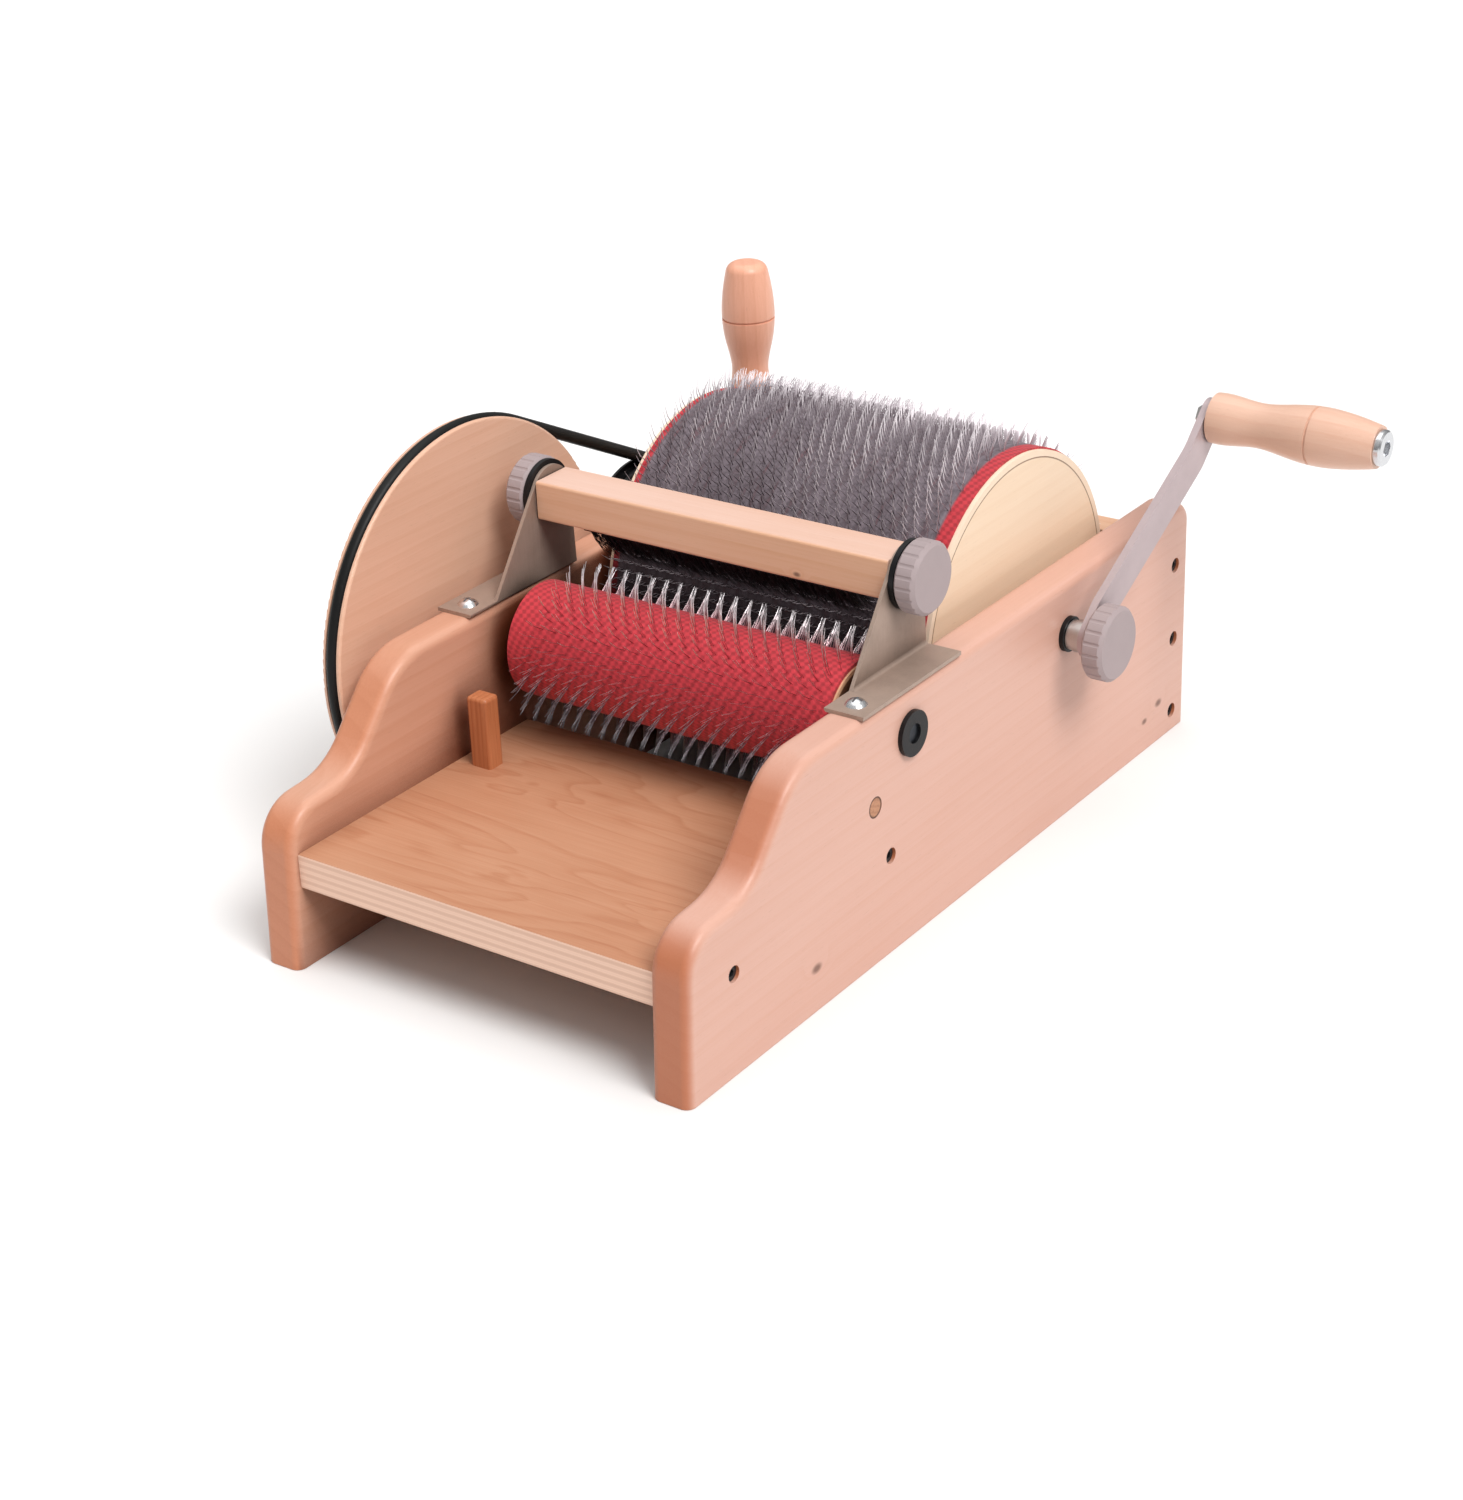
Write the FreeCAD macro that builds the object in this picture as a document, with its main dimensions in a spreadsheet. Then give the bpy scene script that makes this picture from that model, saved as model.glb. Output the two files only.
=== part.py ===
import FreeCAD, Part
import math
import os
import Sketcher

# A table-top drum carder, in millimetres.
# Design frame: x = 0 midway between the side panels, +x towards the crank,
# y = 0 at the panels' front edges, +y backwards, z = 0 on the table.
# Every piece is then set back by origin_x and origin_y, so that the document's
# origin is the middle of the carder's footprint on the table.

doc = FreeCAD.newDocument("DrumCarder")
sheet = doc.addObject("Spreadsheet::Sheet", "Sizes")
Vector = FreeCAD.Vector


class Size:
    """A length, with the sheet expression that gives it."""

    def __init__(self, value, text):
        self.value = value
        self.text = text

    def __add__(self, other):
        other = as_size(other)
        return Size(self.value + other.value, f"({self.text} + {other.text})")

    def __sub__(self, other):
        other = as_size(other)
        return Size(self.value - other.value, f"({self.text} - {other.text})")

    def __mul__(self, other):
        other = as_size(other)
        return Size(self.value * other.value, f"({self.text} * {other.text})")

    def __truediv__(self, other):
        other = as_size(other)
        return Size(self.value / other.value, f"({self.text} / {other.text})")

    def __neg__(self):
        return Size(-self.value, f"(0 - {self.text})")


def as_size(number):
    """A plain number becomes a size of its own."""
    if isinstance(number, Size):
        return number
    return Size(float(number), f"({number})")


rows = []


def size(alias, number):
    """One driving dimension: a row of the sheet."""
    rows.append(alias)
    row = len(rows)
    sheet.set(f"A{row}", alias)
    sheet.set(f"B{row}", str(number))
    sheet.setAlias(f"B{row}", alias)
    return Size(float(number), f"Sizes.{alias}")


# --- driving dimensions -------------------------------------------------------
origin_x = size("origin_x", 48)
origin_y = size("origin_y", 239)
fit_gap = size("fit_gap", 0.02)
run_gap = size("run_gap", 0.06)
free_gap = size("free_gap", 0.3)

inner_half = size("inner_half", 108)
panel_thick = size("panel_thick", 22)
panel_length = size("panel_length", 478)
panel_height = size("panel_height", 134)
nose_lean = size("nose_lean", 4)
nose_height = size("nose_height", 84)
nose_radius = size("nose_radius", 24)
foot_y = size("foot_y", 52)
foot_height = size("foot_height", 87)
foot_radius = size("foot_radius", 40)
shoulder_y = size("shoulder_y", 93)
shoulder_radius = size("shoulder_radius", 42)
rear_radius = size("rear_radius", 12)
edge_round = size("edge_round", 5)

tray_front = size("tray_front", 8)
tray_back = size("tray_back", 186)
tray_top = size("tray_top", 62)
tray_thick = size("tray_thick", 18)
rear_face = size("rear_face", 453)
rear_thick = size("rear_thick", 18)
rear_bottom = size("rear_bottom", 4)
rear_top = size("rear_top", 116)
screw_head_radius = size("screw_head_radius", 3.9)
screw_head_height = size("screw_head_height", 2.4)
screw_sink = size("screw_sink", 4)
screw_radius = size("screw_radius", 1.9)
screw_length = size("screw_length", 42)
front_screw_y = size("front_screw_y", 38)
mid_screw_y = size("mid_screw_y", 170)
rear_screw_y = size("rear_screw_y", 462)
rear_screw_low = size("rear_screw_low", 12)
rear_screw_step = size("rear_screw_step", 44)
plug_y = size("plug_y", 157)
plug_z = size("plug_z", 85)
plug_radius = size("plug_radius", 5.5)
plug_depth = size("plug_depth", 6)

guide_inner = size("guide_inner", 85.5)
guide_outer = size("guide_outer", 98.5)
guide_front = size("guide_front", 128)
guide_thick = size("guide_thick", 11)
guide_top = size("guide_top", 101)

licker_y = size("licker_y", 189.3)
licker_z = size("licker_z", 111.3)
licker_shaft_radius = size("licker_shaft_radius", 5)
licker_core_radius = size("licker_core_radius", 28.5)
licker_cloth_radius = size("licker_cloth_radius", 30.5)
licker_tip_radius = size("licker_tip_radius", 44)
licker_core_right = size("licker_core_right", 101)
licker_core_left = size("licker_core_left", 96)
shell_half = size("shell_half", 100)
drum_cloth_half = size("drum_cloth_half", 97.5)
cloth_margin = size("cloth_margin", 1)
licker_teeth_margin = size("licker_teeth_margin", 3)
licker_barrel_radius = size("licker_barrel_radius", 10)
licker_flange_radius = size("licker_flange_radius", 11.7)
bush_flange = size("bush_flange", 2.5)

drum_y = size("drum_y", 342)
drum_z = size("drum_z", 105)
drum_shaft_radius = size("drum_shaft_radius", 6)
drum_disc_radius = size("drum_disc_radius", 87.6)
drum_disc_thick = size("drum_disc_thick", 18)
drum_shell_radius = size("drum_shell_radius", 91)
drum_cloth_radius = size("drum_cloth_radius", 92)
drum_tip_radius = size("drum_tip_radius", 103.5)
drum_teeth_right = size("drum_teeth_right", 90)
drum_teeth_left = size("drum_teeth_left", 94.5)
drum_barrel_radius = size("drum_barrel_radius", 8.2)
drum_flange_radius = size("drum_flange_radius", 9.5)

shaft_end_left = size("shaft_end_left", 160)
pulley_near = size("pulley_near", 139.6)
pulley_thick = size("pulley_thick", 12)
belt_radius = size("belt_radius", 3.4)
belt_large = size("belt_large", 106.2)
belt_ratio = size("belt_ratio", 0.4)
belt_proud = size("belt_proud", 1.8)
groove_half = size("groove_half", 3.75)
groove_floor_half = size("groove_floor_half", 2.4)
groove_wall = size("groove_wall", 2.8)
groove_depth = size("groove_depth", 5.8)

crank_radius = size("crank_radius", 137)
crank_angle = size("crank_angle", 41.8)
arm_near = size("arm_near", 141)
arm_thick = size("arm_thick", 4)
arm_width = size("arm_width", 20)
arm_offset = size("arm_offset", 14)
arm_bend_start = size("arm_bend_start", 16)
arm_bend_end = size("arm_bend_end", 112)
knob_radius = size("knob_radius", 20)
brush_knob_radius = size("brush_knob_radius", 18.5)
knob_end = size("knob_end", 160)
collar_near = size("collar_near", 136)
collar_radius = size("collar_radius", 8.6)
crank_washer_radius = size("crank_washer_radius", 12)
knob_washer_radius = size("knob_washer_radius", 17.5)
knob_washer_thick = size("knob_washer_thick", 3)
knob_flutes = 20
flute_radius = size("flute_radius", 1.6)
handle_length = size("handle_length", 92)
handle_bolt_radius = size("handle_bolt_radius", 3)
bolt_head_radius = size("bolt_head_radius", 9.5)
bolt_head_height = size("bolt_head_height", 3.7)
socket_radius = size("socket_radius", 4.5)
socket_depth = size("socket_depth", 2.6)
shoulder_step = size("shoulder_step", 2)

bracket_thick = size("bracket_thick", 2)
bracket_front = size("bracket_front", 148)
bracket_back = size("bracket_back", 236)
plate_front = size("plate_front", 168)
bracket_apex_radius = size("bracket_apex_radius", 15)
apex_front = size("apex_front", 7.7)
apex_back = size("apex_back", 14.4)
bracket_screw_y = size("bracket_screw_y", 159)
brush_axis_y = size("brush_axis_y", 219)
brush_axis_z = size("brush_axis_z", 179)
beam_depth = size("beam_depth", 26)
beam_height = size("beam_height", 21)
beam_half = size("beam_half", 107.4)
brush_half = size("brush_half", 84)
holder_depth = size("holder_depth", 18)
holder_thick = size("holder_thick", 4)
stud_radius = size("stud_radius", 3)
stud_length = size("stud_length", 32)
brush_knob_end = size("brush_knob_end", 125)

awl_y = size("awl_y", 416)
awl_handle_base = size("awl_handle_base", 165)
awl_handle_length = size("awl_handle_length", 84)
awl_blade_radius = size("awl_blade_radius", 2.5)
awl_blade_tip = size("awl_blade_tip", 70)
awl_hole_radius = size("awl_hole_radius", 3)
awl_hole_depth = size("awl_hole_depth", 72)

panel_outer = inner_half + panel_thick
panel_middle = inner_half + panel_thick / 2
bush_face = panel_outer + bush_flange
pulley_far = pulley_near + pulley_thick
belt_small = belt_large * belt_ratio
arm_far = arm_near + arm_thick
handle_start = arm_far + arm_offset + 1
beam_bottom = brush_axis_z - beam_height / 2
doc.recompute()

pieces = []


# --- building helpers ---------------------------------------------------------
def new_body(label, at=(0, 0, 0), turn=0.0):
    """A body whose place in the design frame is `at`, turned by `turn` degrees about X."""
    body = doc.addObject("PartDesign::Body", label)
    body.Label = label
    body.Placement = FreeCAD.Placement(Vector(), FreeCAD.Rotation(Vector(1, 0, 0), turn))
    shifts = (as_size(at[0]) - origin_x, as_size(at[1]) - origin_y, as_size(at[2]))
    for axis, shift in zip("xyz", shifts):
        body.setExpression(f"Placement.Base.{axis}", shift.text)
    pieces.append(body)
    return body


def new_sketch(body, role, name, lift=None):
    """A sketch on one of the body's own origin planes, lifted off it if wanted."""
    plane = [item for item in body.Origin.OriginFeatures if item.Role == role][0]
    sketch = body.newObject("Sketcher::SketchObject", f"{body.Label}_{name}")
    sketch.AttachmentSupport = [(plane, "")]
    sketch.MapMode = "FlatFace"
    if lift is not None:
        sketch.AttachmentOffset = FreeCAD.Placement(Vector(0, 0, lift.value), FreeCAD.Rotation())
        sketch.setExpression("AttachmentOffset.Base.z", lift.text)
    return sketch


def pin_point(sketch, geometry, end, corner):
    """Fix a point of the sketch at two sizes from its origin."""
    for kind, place in zip(("DistanceX", "DistanceY"), corner):
        rule = Sketcher.Constraint(kind, -1, 1, geometry, end, place.value)
        index = sketch.addConstraint(rule)
        sketch.setExpression(f"Constraints[{index}]", place.text)


def draw_polygon(sketch, corners):
    """A closed outline of straight lines, each corner pinned."""
    corners = [(as_size(u), as_size(v)) for u, v in corners]
    count = len(corners)
    for index, start in enumerate(corners):
        finish = corners[(index + 1) % count]
        line = Part.LineSegment(
            Vector(start[0].value, start[1].value, 0),
            Vector(finish[0].value, finish[1].value, 0),
        )
        sketch.addGeometry(line, False)
    for index in range(count):
        sketch.addConstraint(Sketcher.Constraint("Coincident", index, 2, (index + 1) % count, 1))
    for index, corner in enumerate(corners):
        pin_point(sketch, index, 1, corner)


def draw_circles(sketch, circles):
    """Circles given as (u, v, radius)."""
    for index, (u, v, radius) in enumerate(circles):
        u, v, radius = as_size(u), as_size(v), as_size(radius)
        circle = Part.Circle(Vector(u.value, v.value, 0), Vector(0, 0, 1), radius.value)
        sketch.addGeometry(circle, False)
        pin_point(sketch, index, 3, (u, v))
        rule = sketch.addConstraint(Sketcher.Constraint("Radius", index, radius.value))
        sketch.setExpression(f"Constraints[{rule}]", radius.text)


def pad(body, sketch, length, middle=False):
    """Push a sketch out along its normal, or both ways from it."""
    feature = body.newObject("PartDesign::Pad", f"{body.Label}_pad")
    feature.Profile = sketch
    feature.setExpression("Length", length.text)
    feature.SideType = "Symmetric" if middle else "One side"
    sketch.Visibility = False
    doc.recompute()
    return feature


def pocket(body, sketch, depth=None, forward=False):
    """Cut a sketch to a depth, or right through both ways when no depth is given."""
    before = body.Shape.Volume
    feature = body.newObject("PartDesign::Pocket", f"{body.Label}_pocket")
    feature.Profile = sketch
    feature.Reversed = forward
    if depth is None:
        feature.Type = "ThroughAll"
        feature.SideType = "Symmetric"
    else:
        feature.setExpression("Length", depth.text)
    doc.recompute()
    if body.Shape.Volume > before - 0.01:
        raise ValueError(f"{feature.Name} cuts nothing")
    return feature


def round_edges(body, radius, wanted):
    """Fillet the edges of the body that `wanted` picks."""
    base = body.Tip
    names = [f"Edge{i + 1}" for i, edge in enumerate(base.Shape.Edges) if wanted(edge)]
    feature = body.newObject("PartDesign::Fillet", f"{body.Label}_fillet")
    feature.Base = (base, names)
    feature.setExpression("Radius", radius.text)
    doc.recompute()
    if not names or feature.Shape.isNull() or not feature.Shape.isValid():
        raise ValueError(f"{feature.Name} fails on {names}")
    return feature


def along_x(edge):
    """True for a straight edge that runs along x."""
    if not isinstance(edge.Curve, Part.Line):
        return False
    return abs(edge.tangentAt(edge.FirstParameter).x) > 0.999


def in_plane_x(edge, place, tolerance=0.01):
    """True for an edge that lies in the plane x = place."""
    box = edge.BoundBox
    return abs(box.XMin - place) < tolerance and abs(box.XMax - place) < tolerance


def turned(label, profile, at, name="turning"):
    """A piece turned about the x axis: the profile is (x, radius) corners."""
    body = new_body(label, at)
    sketch = new_sketch(body, "XZ_Plane", name)
    draw_polygon(sketch, profile)
    revolve(body, sketch, "H_Axis")
    return body


def revolve(body, sketch, axis):
    """A full turn of the sketch about one of its own axes."""
    feature = body.newObject("PartDesign::Revolution", f"{body.Label}_revolution")
    feature.Profile = sketch
    feature.ReferenceAxis = (sketch, [axis])
    feature.Angle = 360
    sketch.Visibility = False
    doc.recompute()
    return feature


def tube(label, x_from, x_to, r_in, r_out, at):
    """A ring of plain section about the x axis."""
    return turned(label, [(x_from, r_in), (x_to, r_in), (x_to, r_out), (x_from, r_out)], at)


def raw_piece(label, shape):
    """A piece whose shape is made in code from the sheet's sizes."""
    feature = doc.addObject("Part::Feature", label)
    feature.Label = label
    feature.Shape = shape
    feature.Placement = FreeCAD.Placement(Vector(-origin_x.value, -origin_y.value, 0), FreeCAD.Rotation())
    pieces.append(feature)
    return feature


# --- frame --------------------------------------------------------------------
licker_at = (0, licker_y, licker_z)
drum_at = (0, drum_y, drum_z)
tray_screw_z = tray_top - tray_thick / 2
screw_places = [(front_screw_y, tray_screw_z), (mid_screw_y, tray_screw_z)]
screw_places += [(rear_screw_y, rear_screw_low + rear_screw_step * step) for step in range(3)]


def side_panel(label, side):
    """One solid wood side: a low nose, an S-curve up to a level top, edges rounded over."""
    body = new_body(label)
    start = inner_half if side > 0 else -panel_outer
    sketch = new_sketch(body, "YZ_Plane", "outline", start)
    draw_polygon(sketch, [
        (0, 0),
        (nose_lean, nose_height),
        (foot_y, foot_height),
        (shoulder_y, panel_height),
        (panel_length, panel_height),
        (panel_length, 0),
    ])
    pad(body, sketch, panel_thick)
    corners = [
        (nose_radius, nose_lean, nose_height),
        (foot_radius, foot_y, foot_height),
        (shoulder_radius, shoulder_y, panel_height),
        (rear_radius, panel_length, panel_height),
    ]
    for radius, y, z in corners:
        round_edges(body, radius, lambda edge: along_x(edge)
                    and abs(edge.Vertexes[0].Y - y.value) < 0.01
                    and abs(edge.Vertexes[0].Z - z.value) < 0.01)
    faces_x = (start.value, start.value + panel_thick.value)
    round_edges(body, edge_round, lambda edge: edge.BoundBox.ZMax > 1
                and any(in_plane_x(edge, x) for x in faces_x))
    holes = new_sketch(body, "YZ_Plane", "bores")
    shank_hole = screw_radius + run_gap
    circles = [(y, z, shank_hole) for y, z in screw_places]
    circles.append((licker_y, licker_z, licker_barrel_radius))
    circles.append((drum_y, drum_z, drum_barrel_radius))
    draw_circles(holes, circles)
    pocket(body, holes)
    outer = panel_outer if side > 0 else -panel_outer
    sinks = new_sketch(body, "YZ_Plane", "sinks", outer)
    draw_circles(sinks, [(y, z, screw_head_radius + free_gap) for y, z in screw_places])
    pocket(body, sinks, screw_sink, forward=side < 0)
    tops = new_sketch(body, "XY_Plane", "bracket_hole", panel_height)
    middle = panel_middle if side > 0 else -panel_middle
    draw_circles(tops, [(middle, bracket_screw_y, shank_hole)])
    pocket(body, tops, size(f"{label}_pilot", 22))
    return body


right_panel = side_panel("side_panel_right", 1)
plug_hole = new_sketch(right_panel, "YZ_Plane", "plug_hole", panel_outer)
draw_circles(plug_hole, [(plug_y, plug_z, plug_radius + fit_gap)])
pocket(right_panel, plug_hole, plug_depth)

left_panel = side_panel("side_panel_left", -1)
awl_hole = new_sketch(left_panel, "XY_Plane", "awl_hole", panel_height)
draw_circles(awl_hole, [(-panel_middle, awl_y, awl_hole_radius)])
pocket(left_panel, awl_hole, awl_hole_depth)


def cross_board(label, y_from, y_to, z_from, z_to, places):
    """A plywood board between the side panels, with pilot holes in both ends."""
    body = new_body(label)
    sketch = new_sketch(body, "YZ_Plane", "section")
    draw_polygon(sketch, [(y_from, z_from), (y_to, z_from), (y_to, z_to), (y_from, z_to)])
    pad(body, sketch, inner_half * 2, middle=True)
    hole_depth = screw_length - panel_thick + screw_sink + 2
    for side in (1, -1):
        end = inner_half if side > 0 else -inner_half
        holes = new_sketch(body, "YZ_Plane", f"holes_{'right' if side > 0 else 'left'}", end)
        draw_circles(holes, [(y, z, screw_radius + run_gap) for y, z in places])
        pocket(body, holes, hole_depth, forward=side < 0)
    return body


cross_board("feed_tray", tray_front, tray_back, tray_top - tray_thick, tray_top, screw_places[:2])
cross_board("rear_panel", rear_face, rear_face + rear_thick, rear_bottom, rear_top, screw_places[2:])


def wood_screw(y, z, side):
    """A cap screw in its sunk hole: head, hexagon socket and shank, along x."""
    seat = panel_outer.value - screw_sink.value
    out = Vector(side, 0, 0)
    seat_point = Vector(side * seat, y.value, z.value)
    head = Part.makeCylinder(screw_head_radius.value, screw_head_height.value, seat_point, out)
    shank = Part.makeCylinder(screw_radius.value, screw_length.value - screw_head_height.value,
                              seat_point, out * -1)
    hexagon = Part.makePolygon([
        Vector(side * seat + side * 1.0,
               y.value + 2 * math.cos(math.radians(60 * turn)),
               z.value + 2 * math.sin(math.radians(60 * turn)))
        for turn in range(7)
    ])
    socket = Part.Face(hexagon).extrude(out * 5)
    return head.fuse(shank).cut(socket).removeSplitter()


raw_piece("panel_screws", Part.makeCompound(
    [wood_screw(y, z, side) for side in (-1, 1) for y, z in screw_places]))

tube("panel_plug", panel_outer - plug_depth, panel_outer - 0.1, as_size(0), plug_radius,
     (0, plug_y, plug_z))


def fibre_guide(label, side):
    """An upright block on the tray that keeps fibre off the end of the small roller."""
    body = new_body(label)
    start = guide_inner if side > 0 else -guide_outer
    sketch = new_sketch(body, "YZ_Plane", "section", start)
    back = guide_front + guide_thick
    draw_polygon(sketch, [(guide_front, tray_top), (back, tray_top), (back, guide_top), (guide_front, guide_top)])
    pad(body, sketch, guide_outer - guide_inner)
    round_edges(body, size(f"{label}_round", 2), lambda edge: edge.BoundBox.ZMax > tray_top.value + 1)
    return body


fibre_guide("fibre_guide_right", 1)
fibre_guide("fibre_guide_left", -1)


def flanged_bush(label, side, shaft_radius, barrel_radius, flange_radius, at):
    """A plain bearing pressed into a side panel, its flange on the outer face."""
    bore = shaft_radius + run_gap
    barrel = barrel_radius - fit_gap
    profile = [
        (inner_half * side, bore),
        (inner_half * side, barrel),
        (panel_outer * side, barrel),
        (panel_outer * side, flange_radius),
        (bush_face * side, flange_radius),
        (bush_face * side, bore),
    ]
    return turned(label, profile, at)


for side, word in ((1, "right"), (-1, "left")):
    flanged_bush(f"licker_bush_{word}", side, licker_shaft_radius, licker_barrel_radius,
                 licker_flange_radius, licker_at)
    flanged_bush(f"drum_bush_{word}", side, drum_shaft_radius, drum_barrel_radius,
                 drum_flange_radius, drum_at)


# --- rollers ------------------------------------------------------------------
def spacers(prefix, right_end, left_end, shaft_radius, outer_radius, at):
    """A collar each side between the roller and the side panel."""
    for side, word, roller_end in ((1, "right", right_end), (-1, "left", left_end)):
        tube(f"{prefix}_spacer_{word}", roller_end * side, (inner_half - free_gap) * side,
             shaft_radius + fit_gap, outer_radius, at)


licker_end = panel_outer + 1
tube("licker_shaft", -shaft_end_left, licker_end, as_size(0), licker_shaft_radius, licker_at)
tube("licker_core", -licker_core_left, licker_core_right, licker_shaft_radius + fit_gap,
     licker_core_radius, licker_at)
tube("licker_cloth", -(licker_core_left - cloth_margin), licker_core_right - cloth_margin,
     licker_core_radius + fit_gap, licker_cloth_radius, licker_at)
tube("licker_teeth", -(licker_core_left - licker_teeth_margin), licker_core_right - licker_teeth_margin,
     licker_cloth_radius + fit_gap, licker_tip_radius, licker_at)
spacers("licker", licker_core_right, licker_core_left, licker_shaft_radius,
        size("licker_spacer_radius", 9), licker_at)

knob_bottom = knob_end - 4
turned("drum_shaft", [
    (-shaft_end_left, 0),
    (-shaft_end_left, drum_shaft_radius),
    (bush_face + free_gap, drum_shaft_radius),
    (bush_face + free_gap, drum_shaft_radius + shoulder_step),
    (collar_near, drum_shaft_radius + shoulder_step),
    (collar_near, drum_shaft_radius),
    (knob_bottom, drum_shaft_radius),
    (knob_bottom, 0),
], drum_at)
for side, word in ((1, "right"), (-1, "left")):
    tube(f"drum_disc_{word}", (shell_half - drum_disc_thick) * side, shell_half * side,
         drum_shaft_radius + fit_gap, drum_disc_radius, drum_at)
tube("drum_shell", -shell_half, shell_half, drum_disc_radius + fit_gap, drum_shell_radius, drum_at)
tube("drum_cloth", -drum_cloth_half, drum_cloth_half, drum_shell_radius + fit_gap, drum_cloth_radius, drum_at)
tube("drum_teeth", -drum_teeth_left, drum_teeth_right, drum_cloth_radius + fit_gap,
     drum_tip_radius, drum_at)
spacers("drum", shell_half, shell_half, drum_shaft_radius, size("drum_spacer_radius", 12), drum_at)


# --- belt drive ---------------------------------------------------------------
def grooved_pulley(label, belt_line, bore, at):
    """A disc with a round-belt groove in its rim, on the left of the left panel."""
    rim = belt_line + belt_proud
    middle = -(pulley_near + pulley_thick / 2)
    profile = [
        (-pulley_near, bore),
        (-pulley_near, rim),
        (middle + groove_half, rim),
        (middle + groove_half, rim - groove_wall),
        (middle + groove_floor_half, rim - groove_depth),
        (middle - groove_floor_half, rim - groove_depth),
        (middle - groove_half, rim - groove_wall),
        (middle - groove_half, rim),
        (-pulley_far, rim),
        (-pulley_far, bore),
    ]
    body = turned(label, profile, at)
    outer_rims = (-pulley_near.value, -pulley_far.value)
    round_edges(body, size(f"{label}_round", 1.2), lambda edge: edge.BoundBox.ZMax > rim.value - 0.5
                and any(in_plane_x(edge, x) for x in outer_rims))
    return body


def hexagon_nut(label, x_from, x_to, across, bore, at):
    """A hexagon nut about the x axis."""
    body = new_body(label, at)
    sketch = new_sketch(body, "YZ_Plane", "hexagon", x_from)
    radius = across / 1.7320508
    draw_polygon(sketch, [
        (radius * round(math.cos(math.radians(60 * turn)), 6), radius * round(math.sin(math.radians(60 * turn)), 6))
        for turn in range(6)
    ])
    pad(body, sketch, x_to - x_from)
    hole = new_sketch(body, "YZ_Plane", "bore", x_from)
    draw_circles(hole, [(0, 0, bore)])
    pocket(body, hole)
    return body


grooved_pulley("licker_pulley", belt_large, licker_shaft_radius + fit_gap, licker_at)
grooved_pulley("drum_pulley", belt_small, drum_shaft_radius + fit_gap, drum_at)
washer_far = pulley_far + 1.5
nut_across = size("nut_across", 17)
for prefix, shaft_radius, at in (("licker", licker_shaft_radius, licker_at), ("drum", drum_shaft_radius, drum_at)):
    bore = shaft_radius + fit_gap
    tube(f"{prefix}_sleeve", -pulley_near, -(bush_face + free_gap), bore, shaft_radius + 4, at)
    tube(f"{prefix}_pulley_washer", -washer_far, -pulley_far, bore, size(f"{prefix}_washer_radius", 13), at)
    hexagon_nut(f"{prefix}_pulley_nut", -(washer_far + 5), -washer_far, nut_across, bore, at)


def drive_belt():
    """A round belt: an arc on each pulley and two straight runs, open, not crossed."""
    large = Vector(0, licker_y.value, licker_z.value)
    small = Vector(0, drum_y.value, drum_z.value)
    plane_x = -(pulley_near.value + pulley_thick.value / 2)
    span = small - large
    lean = math.atan2(span.z, span.y)
    half_wrap = math.acos((belt_large.value - belt_small.value) / span.Length)

    def on_pulley(centre, radius, angle):
        return centre + Vector(plane_x, radius * math.cos(angle), radius * math.sin(angle))

    def arc(centre, radius, start, sweep):
        ring = Part.Face(Part.Wire(Part.makeCircle(
            belt_radius.value, on_pulley(centre, radius, start),
            Vector(0, -math.sin(start), math.cos(start)))))
        return ring.revolve(centre, Vector(1, 0, 0), math.degrees(sweep))

    def run(angle):
        start = on_pulley(large, belt_large.value, angle)
        finish = on_pulley(small, belt_small.value, angle)
        return Part.makeCylinder(belt_radius.value, (finish - start).Length, start, finish - start)

    upper, lower = lean + half_wrap, lean - half_wrap
    around_large = arc(large, belt_large.value, upper, 2 * math.pi - 2 * half_wrap)
    around_small = arc(small, belt_small.value, lower, 2 * half_wrap)
    return around_large.multiFuse([around_small, run(upper), run(lower)]).removeSplitter()


raw_piece("drive_belt", drive_belt())


# --- crank --------------------------------------------------------------------
def crank_arm():
    """A flat bar, cranked outwards between its two ends."""
    body = new_body("crank_arm", drum_at, crank_angle.value)
    sketch = new_sketch(body, "XY_Plane", "side_view")
    half = arm_width / 2
    slope = (arm_bend_end - arm_bend_start) / arm_offset
    back_set = arm_thick / slope / 2
    draw_polygon(sketch, [
        (arm_near, -half),
        (arm_near, arm_bend_start + back_set),
        (arm_near + arm_offset, arm_bend_end + back_set),
        (arm_near + arm_offset, crank_radius + half),
        (arm_far + arm_offset, crank_radius + half),
        (arm_far + arm_offset, arm_bend_end - back_set),
        (arm_far, arm_bend_start - back_set),
        (arm_far, -half),
    ])
    pad(body, sketch, arm_width, middle=True)
    reach = crank_radius.value + half.value
    round_edges(body, size("arm_end_round", 9.9), lambda edge: along_x(edge)
                and (abs(edge.Vertexes[0].Y + half.value) < 0.01 or abs(edge.Vertexes[0].Y - reach) < 0.01))
    round_edges(body, size("arm_bend_round", 40), lambda edge: isinstance(edge.Curve, Part.Line)
                and abs(edge.tangentAt(edge.FirstParameter).z) > 0.999
                and 0 < edge.Vertexes[0].Y < arm_bend_end.value + 5)
    holes = new_sketch(body, "YZ_Plane", "holes")
    draw_circles(holes, [
        (0, 0, drum_shaft_radius + fit_gap),
        (crank_radius, 0, handle_bolt_radius + fit_gap),
    ])
    pocket(body, holes)
    return body


crank_arm()
tube("crank_collar", collar_near, arm_near, drum_shaft_radius + fit_gap, collar_radius, drum_at)
tube("crank_washer", arm_far, arm_far + knob_washer_thick, drum_shaft_radius + fit_gap,
     crank_washer_radius, drum_at)


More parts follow.
